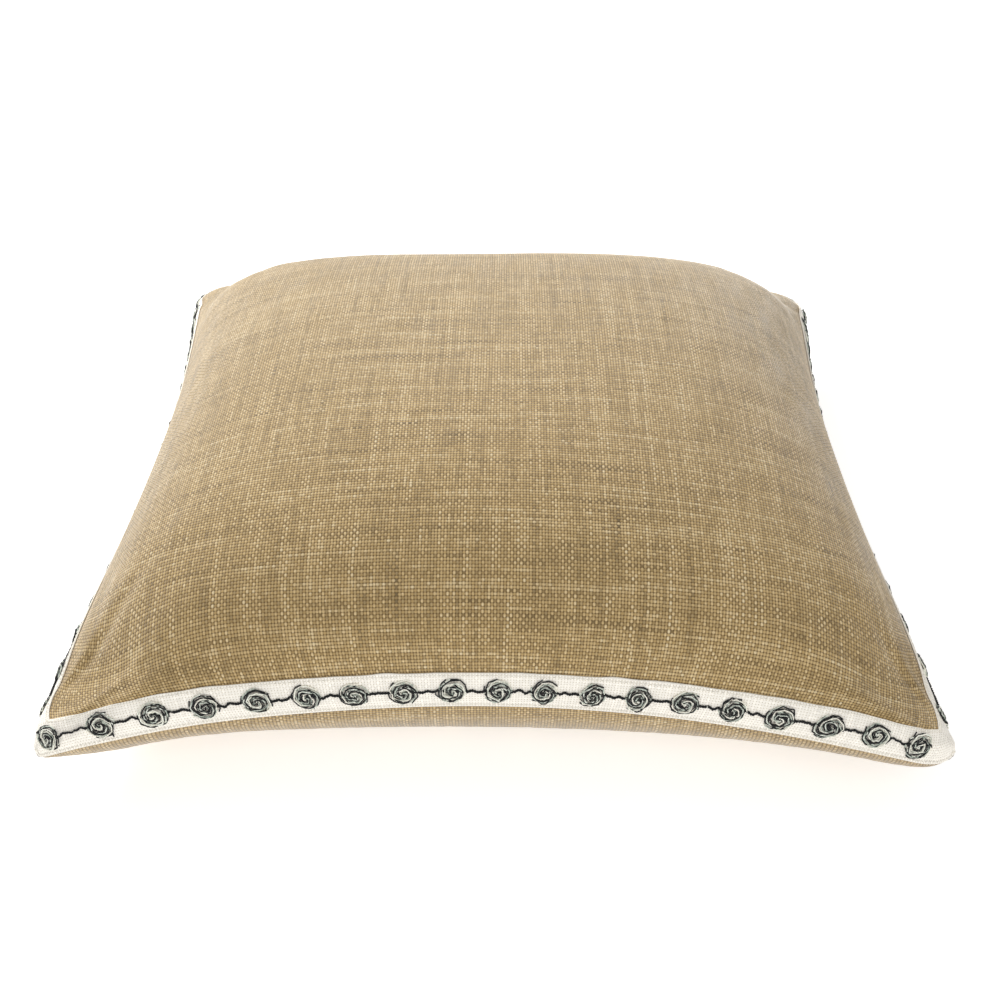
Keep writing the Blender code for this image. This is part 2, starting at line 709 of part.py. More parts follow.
def make_puller(material):
    """Flat puller with an eye round the slider's pin; it lies along the closed teeth."""
    middle = slider_middle()
    height = pin_out()
    eye_half = PULLER_WIDTH * 0.26
    eye_radius = PIN_RADIUS + PIN_CLEARANCE + EYE_WALL
    tip = middle - PULLER_LENGTH
    wide = PULLER_WIDTH / 2
    root = middle - eye_radius * 0.8
    shoulder = middle - eye_radius - NECK_LENGTH
    round_end = [(tip + wide + wide * math.cos(angle), wide * math.sin(angle))
                 for angle in np.linspace(math.pi * 1.5, math.pi * 0.5, 9)]
    neck = eye_half - PIECE_GAP / 2
    outline = [(root, neck), (root, -neck), (shoulder + 0.001, -neck), (shoulder, -wide)]
    outline += round_end + [(shoulder, wide), (shoulder + 0.001, neck)]
    plate = prism(outline, height - PULLER_THICKNESS / 2, height + PULLER_THICKNESS / 2)
    eye = prism(circle(middle, height, eye_radius, 14), -eye_half, eye_half, axis="across")
    bore = prism(circle(middle, height, PIN_RADIUS + PIN_CLEARANCE, 14), -wide, wide, axis="across")
    grip = [(tip + wide + GRIP_HOLE_RADIUS * math.cos(angle), GRIP_HOLE_RADIUS * math.sin(angle))
            for angle in np.linspace(0, 2 * math.pi, ROUND_SIDES, endpoint=False)]
    hole = prism(grip, height - PULLER_THICKNESS, height + PULLER_THICKNESS)
    item = fuse("zip_puller", [plate, eye], [bore, hole], material)
    move_origin(item, zip_place(middle, 0.0, height))


def make_zip_threads(material):
    """Stitch rows that hold the tapes to the folded edges."""
    place = SLOT_HALF + STITCH_FROM_FOLD
    for name, sign in (("zip_thread_main", -1), ("zip_thread_back", 1)):
        low, high = sorted((sign * place, sign * (place + THREAD_WIDTH)))
        end = ZIP_HALF + TAPE_TAIL / 2
        add_object(name, *block(-end, end, low, high, PIECE_GAP, PIECE_GAP + THREAD_WIDTH), material)


# The insert ----------------------------------------------------------------------------------------

def insert_grid():
    """u and v of the insert's grid: the underside's own, so that the two never cross."""
    columns = belly_columns()
    rows = []
    for u in columns:
        front, back = belly_rows(float(u))
        rows.append(front[:-1] + back[1:])
    v = np.array(rows)
    return np.repeat(columns[:, None], v.shape[1], axis=1), v


def insert_skins(inset):
    """Top and bottom points of the insert, taken inset behind the cover's inner face."""
    u, v = insert_grid()
    half = CORNER_HALF - INSERT_EDGE_GAP - inset
    depth = COVER_THICKNESS + INSERT_SLACK + inset
    top = crown(u, v, half, CROWN_RISE - depth)
    bottom = belly(u, v, half, BELLY_DEPTH - INSERT_BELLY_SLACK - inset, depth, ZIP_POCKET + inset)
    return top, bottom


def make_insert(casing_material, fill_material):
    """Two casing panels and the filling inside them."""
    top, bottom = insert_skins(0.0)
    columns, rows = top.shape[:2]
    cells = all_cells(columns - 1, rows - 1)
    inner_top, inner_bottom = insert_skins(CASING_THICKNESS)
    rim = np.zeros(top.shape[:2], dtype=bool)
    rim[0, :] = rim[-1, :] = rim[:, 0] = rim[:, -1] = True
    for skin in (bottom, inner_bottom):
        skin[rim, 2] = np.minimum(skin[rim, 2], top[rim, 2]) - PIECE_GAP
    closed_sheet("insert_casing_top", top, inner_top, cells, casing_material)
    closed_sheet("insert_casing_bottom", bottom, inner_bottom, cells, casing_material)
    fill_top, fill_bottom = insert_skins(CASING_THICKNESS + FILL_SLACK)
    fill_bottom[rim] = fill_top[rim]
    points = list(fill_top.reshape(-1, 3)) + list(fill_bottom[1:-1, 1:-1].reshape(-1, 3))

    def top_index(corner):
        return corner[0] * rows + corner[1]

    def bottom_index(corner):
        i, j = corner
        if 0 < i < columns - 1 and 0 < j < rows - 1:
            return columns * rows + (i - 1) * (rows - 2) + j - 1
        return top_index(corner)

    faces = [tuple(top_index(corner) for corner in cell) for cell in cells]
    faces += [tuple(bottom_index(corner) for corner in reversed(cell)) for cell in cells]
    add_object("insert_filling", points, faces, fill_material)


def make_seam_thread(cloth, material):
    """The lock stitch that joins the top and bottom panels, just inside the seam."""
    stations = []
    shares = np.sin(np.linspace(-1, 1, SEAM_THREAD_CELLS + 1)[:-1] * math.pi / 2)
    path = [(s, -1.0) for s in shares] + [(1.0, s) for s in shares]
    path += [(-s, 1.0) for s in shares] + [(-1.0, -s) for s in shares]
    half = CORNER_HALF - SEAM_THREAD_INSET
    for u, v in path:
        u, v = np.array(u), np.array(v)
        z = float(seam_height(u, v)) - SEAM_GAP / 2
        far = [float(value) for value in plan(u, v, half + THREAD_WIDTH / 2)]
        near = [float(value) for value in plan(u, v, half - THREAD_WIDTH / 2)]
        low, high = z - THREAD_WIDTH / 2, z + THREAD_WIDTH / 2
        stations.append(((*far, low), (*near, low), (*near, high), (*far, high)))
    make_strand("seam_thread", stations, material, closed=True)


def main():
    clear_scene()
    cover = make_material("cover_cloth", (0.46, 0.36, 0.22), 0.9)
    band = make_material("trim_cloth", (0.88, 0.84, 0.74), 0.85)
    rosette = make_material("rosette_yarn", (0.10, 0.13, 0.14), 0.7)
    thread = make_material("sewing_thread", (0.62, 0.52, 0.36), 0.6)
    tape = make_material("zip_tape", (0.40, 0.32, 0.21), 0.8)
    nylon = make_material("zip_nylon", (0.36, 0.29, 0.19), 0.45)
    metal = make_material("zip_metal", (0.50, 0.42, 0.27), 0.3, 1.0)
    calico = make_material("casing_cloth", (0.85, 0.83, 0.78), 0.9)
    fibre = make_material("fibre_filling", (0.93, 0.93, 0.91), 0.95)
    cloth = TopCloth()
    make_top_panel(cloth, cover)
    make_bottom_panels(cover)
    make_bands(cloth, band)
    make_band_thread(cloth, "band_thread_outer", BAND_STITCH_MARGIN, thread)
    make_band_thread(cloth, "band_thread_inner", BAND_WIDTH - BAND_STITCH_MARGIN, thread)
    for side in SIDES:
        make_rosette_chain(cloth, side, rosette)
    make_seam_thread(cloth, thread)
    make_tapes(tape)
    make_coils(nylon)
    make_stops(metal)
    make_slider(metal)
    make_puller(metal)
    make_zip_threads(thread)
    make_insert(calico, fibre)


main()
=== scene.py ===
"""Floor cushion: the finished look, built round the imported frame.

Woven pieces are laid out on the flat cloth, in metres from the middle of a panel, and carried
onto the filled form. The form has the shape and size of the CAD model.
"""
import json
import math

import bmesh
import bpy
import numpy as np
from bpy.props import FloatProperty, FloatVectorProperty, IntProperty, PointerProperty
from mathutils import Matrix, Vector


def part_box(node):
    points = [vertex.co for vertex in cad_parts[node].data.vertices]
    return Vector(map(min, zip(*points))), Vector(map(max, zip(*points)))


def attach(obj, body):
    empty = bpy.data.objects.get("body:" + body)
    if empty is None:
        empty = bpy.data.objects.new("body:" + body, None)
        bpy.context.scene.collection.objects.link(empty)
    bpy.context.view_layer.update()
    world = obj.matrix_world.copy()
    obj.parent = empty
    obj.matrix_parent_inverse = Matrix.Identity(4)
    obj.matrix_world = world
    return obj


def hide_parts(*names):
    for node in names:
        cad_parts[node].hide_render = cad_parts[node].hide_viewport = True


bl_info = {
    "name": "Floor Cushion Maker",
    "version": (1, 0, 0),
    "blender": (4, 5, 0),
    "location": "3D View > Sidebar > Cushion",
    "description": "Makes a filled floor cushion with a woven trim, yarn rosettes and a zip",
    "category": "Add Mesh",
}

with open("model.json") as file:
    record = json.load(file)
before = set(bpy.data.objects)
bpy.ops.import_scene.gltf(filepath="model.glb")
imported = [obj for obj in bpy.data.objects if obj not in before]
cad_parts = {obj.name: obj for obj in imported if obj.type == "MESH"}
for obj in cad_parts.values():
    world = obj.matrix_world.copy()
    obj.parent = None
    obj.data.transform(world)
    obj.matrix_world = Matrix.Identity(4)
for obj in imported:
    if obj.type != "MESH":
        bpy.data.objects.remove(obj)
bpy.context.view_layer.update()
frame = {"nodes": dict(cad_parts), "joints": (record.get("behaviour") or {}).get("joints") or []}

# The filled form, as the CAD model has it
CORNER_HALF = 0.308          # middle to corner, along X and along Y
EDGE_DRAW = 0.0415           # how far the middle of each side is drawn in
DRAW_SHARE = EDGE_DRAW / CORNER_HALF
CORNER_BLUNTING = 0.045
CORNER_SHARPNESS = 16
CORNER_DROP = 0.019          # of the seam, from mid-edge to corner
SEAM_HEIGHT = 0.059
CROWN_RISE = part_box("top_panel")[1][2] - SEAM_HEIGHT
CROWN_FULLNESS = 0.37
BELLY_DEPTH = 0.093
BELLY_FULLNESS = 0.5
FLAT_SIDE = 0.660            # of the cover's cloth, seam to seam
FLAT_HALF = FLAT_SIDE / 2
COVER_THICKNESS = 0.0012
SEAM_GAP = 0.0005            # between two pieces of cloth where they are sewn
FLOOR_CLEARANCE = 0.0001     # of the cloth over the floor
BAND_WIDTH = 0.028
BAND_LIFT = 0.0003           # of the band's back over the cover
BAND_THICKNESS = 0.0009
BAND_FACE = BAND_LIFT + BAND_THICKNESS
SIDES = ("front", "right", "back", "left")
LATE_START = 0.024           # of the right side's row of rosettes
ROW_INSET = 0.0020           # of the band's stitch rows, from its edges
ZIP_ROW_ASIDE = 0.0038       # of the zip's stitch rows, from the slot

# The zip, placed by its joints
SWING = next(joint for joint in frame["joints"] if joint["name"] == "puller_swing")
ZIP_TILT = math.atan2(-SWING["axis"][2], -SWING["axis"][1])
ZIP_RISE = np.array((0.0, math.cos(ZIP_TILT), math.sin(ZIP_TILT)))
ZIP_AWAY = np.array((0.0, math.sin(ZIP_TILT), -math.cos(ZIP_TILT)))
PIN_OUT = 0.00245            # of the puller's pin, from the cover's face
ZIP_ORIGIN = np.array((0.0, *SWING["pos_m"][1:])) - PIN_OUT * ZIP_AWAY
ZIP_Y, ZIP_Z = float(ZIP_ORIGIN[1]), float(ZIP_ORIGIN[2])
ZIP_HALF = float(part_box("zip_top_stop_main")[1][0])
ZIP_REACH = 0.016            # of the flat strip, beside the zip
ZIP_FADE = 0.028
SLOT_HALF = 0.0065
SLOT_END = 0.0045            # past each end of the zip
TAPE_LIFT = -0.0018          # of the tapes' middle, out from the cover's face
TEETH_ASIDE = 0.00135        # middle of a row of teeth, beside the zip's middle
TAPE_EDGES = (0.00285, 0.01435)

# The filling: its simulation, and what hand filling leaves uneven
FILLING_FRAMES = 20
FILLING = {"quality": 6, "mass": 0.02, "tension_stiffness": 40, "compression_stiffness": 40,
           "shear_stiffness": 10, "bending_stiffness": 0.6, "use_pressure": True,
           "vertex_group_mass": "held"}
LIMP_CORNERS = ((0.021, -0.92, 0.19), (0.021, 0.97, 0.17))    # height, place and width along u
LUMPS = ((0.0060, 0.6, 0.28), (-0.0055, -0.12, 0.30))
FULL_CORNER = 0.0030
TIP_DROOP = 0.0045
TIP_TURNED_UP = 0.011
EAR_DEPTH = 0.012

# Corners that count as one, in a copy of a CAD node
WELD = 2e-6


# The filled form ---------------------------------------------------------------------------

def smooth(share):
    """Ease from 0 to 1."""
    share = np.clip(share, 0, 1)
    return share * share * (3 - 2 * share)


def plan(u, v):
    """X and Y of a point: sides drawn in at mid-edge, corner tips blunted."""
    blunt = 1 - CORNER_BLUNTING * np.abs(u * v) ** CORNER_SHARPNESS
    x = CORNER_HALF * u * (1 - DRAW_SHARE * (1 - v * v) * u * u) * blunt
    y = CORNER_HALF * v * (1 - DRAW_SHARE * (1 - u * u) * v * v) * blunt
    return x, y


def fullness(u, v):
    """1 in the middle of the cushion and 0 along its seam."""
    return np.clip((1 - u * u) * (1 - v * v), 0, 1)


def on_seam(u, v):
    """Whether a point is on the seam."""
    return fullness(u, v) < 1e-9


def seam_height(u, v):
    """Height of the seam, which sags towards the corners."""
    return SEAM_HEIGHT - CORNER_DROP * (u * v) ** 2


def crown(u, v):
    """Points of the top."""
    x, y = plan(u, v)
    return np.stack([x, y, seam_height(u, v) + CROWN_RISE * fullness(u, v) ** CROWN_FULLNESS], -1)


def zip_weight(x, y, seam_y):
    """1 on the flat strip that the zip holds, fading to 0 around it and at the seam."""
    reach = ZIP_REACH * math.cos(ZIP_TILT)
    ends = smooth((ZIP_HALF + ZIP_REACH + ZIP_FADE - np.abs(x)) / ZIP_FADE)
    front = smooth((y - ZIP_Y + reach + ZIP_FADE) / ZIP_FADE)
    strip_end = ZIP_Y + reach
    back = 1 - np.clip((y - strip_end) / np.maximum(seam_y - strip_end, SEAM_GAP), 0, 1)
    return ends * front * back


def belly(u, v):
    """Points of the underside: flat on the floor, and flat on a slope along the zip."""
    x, y = plan(u, v)
    z = np.maximum(seam_height(u, v) - BELLY_DEPTH * fullness(u, v) ** BELLY_FULLNESS, 0)
    slope = ZIP_Z + math.tan(ZIP_TILT) * (y - ZIP_Y)
    z = z + zip_weight(x, y, plan(u, np.ones_like(v))[1]) * (slope - z)
    return np.stack([x, y, np.maximum(z, 0)], -1)


def look_up(table, first, second):
    """Even table of numbers, read between its points at shares from 0 to 1."""
    i = np.clip(first, 0, 1) * (table.shape[0] - 1)
    j = np.clip(second, 0, 1) * (table.shape[1] - 1)
    i0 = np.minimum(i.astype(int), table.shape[0] - 2)
    j0 = np.minimum(j.astype(int), table.shape[1] - 2)
    i, j = i - i0, j - j0
    if table.ndim == 3:
        i, j = i[..., None], j[..., None]
    return ((1 - i) * (1 - j) * table[i0, j0] + i * (1 - j) * table[i0 + 1, j0]
            + (1 - i) * j * table[i0, j0 + 1] + i * j * table[i0 + 1, j0 + 1])


def look_up_smoothly(table, first, second):
    """The same, through a cubic spline, so that no cell of the table shows."""
    def weights(t):
        return ((1 - t) ** 3 / 6, (3 * t ** 3 - 6 * t ** 2 + 4) / 6,
                (-3 * t ** 3 + 3 * t ** 2 + 3 * t + 1) / 6, t ** 3 / 6)

    total = 0
    i = np.clip(first, 0, 1) * (table.shape[0] - 1)
    j = np.clip(second, 0, 1) * (table.shape[1] - 1)
    i0, j0 = np.floor(i).astype(int), np.floor(j).astype(int)
    i, j = i - i0, j - j0
    for a, along in enumerate(weights(i)):
        for b, across in enumerate(weights(j)):
            rows = np.clip(i0 + a - 1, 0, table.shape[0] - 1)
            columns = np.clip(j0 + b - 1, 0, table.shape[1] - 1)
            total = total + (along * across)[..., None] * table[rows, columns]
    return total


def run_along(points):
    """Distance along a line of points, from its start."""
    return np.concatenate([[0.0], np.cumsum(np.linalg.norm(np.diff(points, axis=0), axis=1))])


def cell_share(u):
    """Place in the filling's grid, 0 to 1, whose cells crowd towards the seam."""
    return 0.5 + np.arcsin(np.clip(u, -1, 1)) / math.pi


def bells(shapes, value):
    """Sum of soft bumps, each given by its height, its place and its width."""
    return sum(height * np.exp(-((value - place) / width) ** 2) for height, place, width in shapes)


def bell(value, place, width):
    """1 at a place, fading to 0 on both sides of it."""
    return bells([(1.0, place, width)], value)


def uneven(u, v):
    """How far hand filling lifts the form: full and limp corners, drooping tips, two soft lumps."""
    full_corner = FULL_CORNER * bell(u, -0.66, 0.24) * smooth((-v - 0.2) / 0.6)
    limp = bells(LIMP_CORNERS, u) * bell(v, -0.92, 0.15) * (1 - u ** 12) * (1 - v ** 12)
    droop = TIP_DROOP * bell(np.abs(u), 1, 0.07) * smooth((np.abs(v) - 0.6) / 0.35)
    turned_up = TIP_TURNED_UP * bell(u, 1, 0.06) * bell(v, -1, 0.06)
    lumps = bells(LUMPS, u) * smooth((v + 0.6) / 0.8) * np.sqrt(fullness(u, v))
    return full_corner - limp - droop + turned_up + lumps


def ears(u, v):
    """How far the top sinks behind the corner tips, where little filling reaches."""
    near = smooth((np.abs(u) + np.abs(v) - 1.42) / 0.42)
    return -EAR_DEPTH * near * smooth(fullness(u, v) / 0.09)


class FilledCover:
    """The filled form, with the way to it from the flat cloth."""

    CELLS = 72                   # of each panel, for the filling

    def __init__(self):
        self.columns = np.linspace(0, 1, 81)
        self.depths = np.linspace(0, BAND_WIDTH, 71)
        shares = 1 - 0.6 * np.linspace(0, 1, 400) ** 3
        table, runs = [], []
        whole = np.sin(np.linspace(0, 1, 800) * math.pi / 2)
        for u in self.columns:
            run = run_along(crown(np.full_like(shares, u), shares))
            table.append(np.interp(self.depths, run, shares))
            run = run_along(crown(np.full_like(whole, u), whole))
            runs.append(np.interp(np.linspace(0, run[-1], 661), run, whole))
        self.table, self.runs = np.array(table), np.array(runs)
        self.turns = np.array([self._turn(k) for k in range(len(self.depths))])
        side = self.CELLS + 1
        self.swell = {"top": np.zeros((side, side, 3)), "under": np.zeros((side, side, 3))}

    def _turn(self, k):
        """The share u = v at which the line at that depth turns the corner."""
        gap = self.table[:, k] - self.columns
        crossing = int(np.argmax(gap <= 1e-12))
        low, high = gap[crossing - 1], gap[crossing]
        step = self.columns[1]
        return self.columns[crossing - 1] + step * (low / (low - high) if low > high else 1.0)

    def shares(self, x, y):
        """u and v of places on the flat top cloth."""
        depth = np.clip(FLAT_HALF - np.maximum(np.abs(x), np.abs(y)), 0, BAND_WIDTH)
        a, b = x / (FLAT_HALF - depth), y / (FLAT_HALF - depth)
        turn = np.interp(depth, self.depths, self.turns)
        share = depth / BAND_WIDTH
        return (a * look_up(self.table, np.abs(b) * turn, share),
                b * look_up(self.table, np.abs(a) * turn, share))

    def top(self, x, y):
        """Points of the top over places on the flat cloth."""
        return self.over(*self.shares(x, y))

    def even_top(self, x, y):
        """The same, with the yarns evenly spaced along the cloth from seam to seam."""
        u, v = x / FLAT_HALF, y / FLAT_HALF
        across, along = np.abs(u), np.abs(v)
        for _ in range(10):
            u, v = look_up(self.runs, np.abs(v), across), look_up(self.runs, np.abs(u), along)
        return self.over(u * np.sign(x), v * np.sign(y))

    def swollen(self, side, u, v):
        """How far the simulated filling moves the cloth."""
        return look_up_smoothly(self.swell[side], cell_share(u), cell_share(v))

    def over(self, u, v):
        """Points of the top."""
        points = crown(u, v) + self.swollen("top", u, v)
        points[..., 2] += uneven(u, v) + ears(u, v)
        return points

    def under(self, u, v):
        """Points of the underside."""
        points = belly(u, v) + self.swollen("under", u, v)
        points[..., 2] += uneven(u, v) * (1 - smooth(fullness(u, v) / 0.3))
        points[..., 2] = np.maximum(points[..., 2], 0)
        return points

    def follow(self, points):
        """Move points of a piece inside the cover as the cloth nearest to them has moved."""
        u, v = points[..., 0] / CORNER_HALF, points[..., 1] / CORNER_HALF
        for _ in range(12):
            x, y = plan(u, v)
            u = np.clip(u + (points[..., 0] - x) / CORNER_HALF, -1, 1)
            v = np.clip(v + (points[..., 1] - y) / CORNER_HALF, -1, 1)
        above = smooth((points[..., 2] - seam_height(u, v)) / 0.02 + 0.5)[..., None]
        lift = uneven(u, v)[..., None] * np.array((0.0, 0.0, 1.0))
        over = self.swollen("top", u, v) + lift
        over[..., 2] += ears(u, v)
        below = self.swollen("under", u, v) + lift * (1 - smooth(fullness(u, v) / 0.3))[..., None]
        return points + over * above + below * (1 - above)

    def carry(self, flat, way=None):
        """Points whose x and y lie on the flat top cloth and whose z is a height over it."""
        way = way or self.top
        step = 0.0004
        limit = FLAT_HALF - 1e-6
        x, y = np.clip(flat[..., 0], -limit, limit), np.clip(flat[..., 1], -limit, limit)
        along = way(np.minimum(x + step, limit), y) - way(np.maximum(x - step, -limit), y)
        up = way(x, np.minimum(y + step, limit)) - way(x, np.maximum(y - step, -limit))
        normal = np.cross(along, up)
        normal /= np.linalg.norm(normal, axis=-1, keepdims=True)
        return way(x, y) + normal * flat[..., 2:3]


COVER = FilledCover()


def on_zip(flat):
    """Points from places along the zip, up the slope and out from the cover's face."""
    flat = np.asarray(flat, float)
    return (ZIP_ORIGIN + flat[..., 0:1] * np.array((1.0, 0.0, 0.0))
            + flat[..., 1:2] * ZIP_RISE + flat[..., 2:3] * ZIP_AWAY)


def turned(side, along, inward):
    """Flat-cloth x and y of a point inward from a side's seam, 0 being the middle of it."""
    reach = inward - FLAT_HALF
    return {"front": (along, reach), "right": (-reach, along),
            "back": (-along, -reach), "left": (reach, -along)}[side]


# Making meshes --------------------------------------------------------------------------------

def new_piece(name, data):
    """An object in the scene."""
    piece = bpy.data.objects.new(name, data)
    bpy.context.scene.collection.objects.link(piece)
    return piece


def add_mesh(name, points, faces, material, uv=None):
    """A piece from points and faces; uv gives each point its place on the cloth."""
    mesh = bpy.data.meshes.new(name)
    mesh.from_pydata(np.asarray(points, float).reshape(-1, 3).tolist(), [], faces)
    mesh.materials.append(material)
    if uv is not None:
        corners = np.empty(len(mesh.loops), int)
        mesh.loops.foreach_get("vertex_index", corners)
        layer = mesh.uv_layers.new(name="Cloth")
        layer.data.foreach_set("uv", np.asarray(uv, np.float32).reshape(-1, 2)[corners].ravel())
    mesh.polygons.foreach_set("use_smooth", [True] * len(mesh.polygons))
    mesh.validate()
    return new_piece(name, mesh)


def grid_faces(columns, rows, start=0, flip=False):
    """Four-sided faces of a grid of points, columns by rows."""
    i, j = np.meshgrid(np.arange(columns - 1), np.arange(rows - 1), indexing="ij")
    a = start + i * rows + j
    quads = np.stack([a, a + rows, a + rows + 1, a + 1], -1).reshape(-1, 4)
    return (quads[:, ::-1] if flip else quads).tolist()


def rim(columns, rows):
    """Grid places round the edge of a grid, anticlockwise."""
    return ([(i, 0) for i in range(columns - 1)] + [(columns - 1, j) for j in range(rows - 1)]
            + [(i, rows - 1) for i in range(columns - 1, 0, -1)]
            + [(0, j) for j in range(rows - 1, 0, -1)])


def add_sheet(name, outer, back, coarseness, uv, material, upward=True):
    """A closed sheet: a finely divided face, and a back with fewer, larger cells."""
    columns, rows = outer.shape[:2]
    back_uv = uv[::coarseness, ::coarseness]
    back_columns, back_rows = back.shape[:2]
    count = columns * rows
    faces = grid_faces(columns, rows, 0, not upward)
    faces += grid_faces(back_columns, back_rows, count, upward)
    outline = [i * rows + j for i, j in rim(columns, rows)]
    back_outline = [count + i * back_rows + j for i, j in rim(back_columns, back_rows)]
    for k in range(len(back_outline)):
        run = [outline[(k * coarseness + step) % len(outline)] for step in range(coarseness + 1)]
        face = run[::-1] + [back_outline[k], back_outline[(k + 1) % len(back_outline)]]
        faces.append(face if upward else face[::-1])
    points = np.concatenate([outer.reshape(-1, 3), back.reshape(-1, 3)])
    places = np.concatenate([uv.reshape(-1, 2), back_uv.reshape(-1, 2)])
    return add_mesh(name, points, faces, material, places)


def grid_normals(points):
    """Unit normals of a grid of points."""
    normals = np.cross(np.gradient(points, axis=0), np.gradient(points, axis=1))
    return normals / np.linalg.norm(normals, axis=-1, keepdims=True)


def dimples(x, y):
    """0 on the yarns and 1 in the gaps between them; x and y are counted in yarns."""
    across = (1 - np.cos(2 * math.pi * x)) / 2
    along = (1 - np.cos(2 * math.pi * y)) / 2
    share = 0.45
    return share * (across + along) / 2 + (1 - share) * across * along


def wander(x, y, size, seed):
    """Soft uneven pattern between -1 and 1, made of a few waves."""
    draw = np.random.default_rng(seed)
    total = 0
    for _ in range(7):
        angle, phase = draw.uniform(0, 2 * math.pi, 2)
        length = size * draw.uniform(0.6, 1.7)
        total = total + np.sin(2 * math.pi * (x * math.cos(angle) + y * math.sin(angle)) / length + phase)
    return total / 4.5


# Node trees -----------------------------------------------------------------------------------

class Tree:
    """Adds and joins the nodes of one tree."""

    def __init__(self, tree):
        self.tree = tree

    def add(self, kind, inputs=None, out=0, **settings):
        """A node with its settings and inputs; returns one of its outputs."""
        node = self.tree.nodes.new(kind)
        for key, value in settings.items():
            setattr(node, key, value)
        for key, value in (inputs or {}).items():
            if isinstance(key, int):
                socket = node.inputs[key]
            else:
                socket = next(item for item in node.inputs if item.name == key and item.enabled)
            if isinstance(value, bpy.types.NodeSocket):
                self.tree.links.new(value, socket)
            elif value is not None:
                socket.default_value = value
        if isinstance(out, int):
            return node.outputs[out] if node.outputs else node
        return next(item for item in node.outputs if item.name == out and item.enabled)

    def math(self, operation, *values, clamp=False):
        return self.add("ShaderNodeMath", dict(enumerate(values)), operation=operation, use_clamp=clamp)

    def plus(self, first, second):
        return self.math("ADD", first, second)

    def minus(self, first, second):
        return self.math("SUBTRACT", first, second)

    def times(self, first, second):
        return self.math("MULTIPLY", first, second)

    def share(self, first, second):
        return self.math("DIVIDE", first, second)

    def scaled(self, value, factor, term):
        """A value times a factor, plus a term."""
        return self.math("MULTIPLY_ADD", value, factor, term)

    def vary(self, value, pattern, amount):
        """A value moved up and down by a pattern that runs from 0 to 1."""
        return self.plus(value, self.scaled(pattern, amount, -amount / 2))

    def vector(self, operation, *values, out=0):
        return self.add("ShaderNodeVectorMath", dict(enumerate(values)), out, operation=operation)

    def join(self, x=0.0, y=0.0, z=0.0):
        return self.add("ShaderNodeCombineXYZ", {0: x, 1: y, 2: z})

    def split(self, value):
        return self.add("ShaderNodeSeparateXYZ", {0: value}).node.outputs

    def object_place(self):
        return self.add("ShaderNodeTexCoord", out="Object")

    def cloth_place(self):
        return self.add("ShaderNodeUVMap", uv_map="Cloth")

    def chance(self, values):
        """An even random number for each value, or for each pair of them."""
        if len(values) == 1:
            return self.add("ShaderNodeTexWhiteNoise", {"W": values[0]}, noise_dimensions="1D")
        return self.add("ShaderNodeTexWhiteNoise", {"Vector": self.join(*values)}, noise_dimensions="2D")

    def geometry(self, kind, inputs=None, out=0, **settings):
        return self.add("GeometryNode" + kind, inputs, out, **settings)

    def ease(self, value, low, high, start=0.0, end=1.0):
        return self.add("ShaderNodeMapRange", {"Value": value, "From Min": low, "From Max": high,
                                               "To Min": start, "To Max": end},
                        interpolation_type="SMOOTHSTEP")

    def noise(self, place, scale, detail=2.0, roughness=0.5):
        return self.add("ShaderNodeTexNoise", {"Vector": place, "Scale": scale, "Detail": detail,
                                               "Roughness": roughness})

    def mix(self, share, first, second):
        return self.add("ShaderNodeMix", {0: share, 6: first, 7: second}, out=2, data_type="RGBA",
                        clamp_factor=True)

    def tint(self, colour, share):
        """A colour made lighter or darker all over by a number round 1."""
        if isinstance(colour, tuple):
            colour = colour[:3]
        return self.vector("MULTIPLY", colour, self.join(share, share, share))


def linear(colour):
    """A shown colour, 0 to 1, as light, with its alpha."""
    return (*(c / 12.92 if c <= 0.04045 else ((c + 0.055) / 1.055) ** 2.4 for c in colour), 1.0)


class Look(Tree):
    """A material and its tree; what is the same all over is set on the shader itself."""

    def __init__(self, name, roughness, metallic=0.0, sheen=0.0, sheen_roughness=0.5, specular=0.5):
        self.material = bpy.data.materials.new(name)
        self.material.use_nodes = True
        super().__init__(self.material.node_tree)
        self.shader = self.tree.nodes["Principled BSDF"]
        for label, value in (("Roughness", roughness), ("Metallic", metallic), ("Sheen Weight", sheen),
                             ("Sheen Roughness", sheen_roughness), ("Specular IOR Level", specular)):
            self.shader.inputs[label].default_value = value

    def finish(self, colour, height=None, depth=0.0005, strength=0.5, roughness=None):
        """Join a colour, a bump and a roughness pattern to the shader; returns the material."""
        self.tree.links.new(colour, self.shader.inputs["Base Color"])
        if roughness is not None:
            self.tree.links.new(roughness, self.shader.inputs["Roughness"])
        if height is not None:
            bump = self.add("ShaderNodeBump", {"Height": height, "Distance": depth, "Strength": strength})
            self.tree.links.new(bump, self.shader.inputs["Normal"])
        return self.material


YARN_FILL = 0.47             # half of a yarn's width, in pitches
NUB_SHARE = 0.5              # of round nubs in the height of a weave


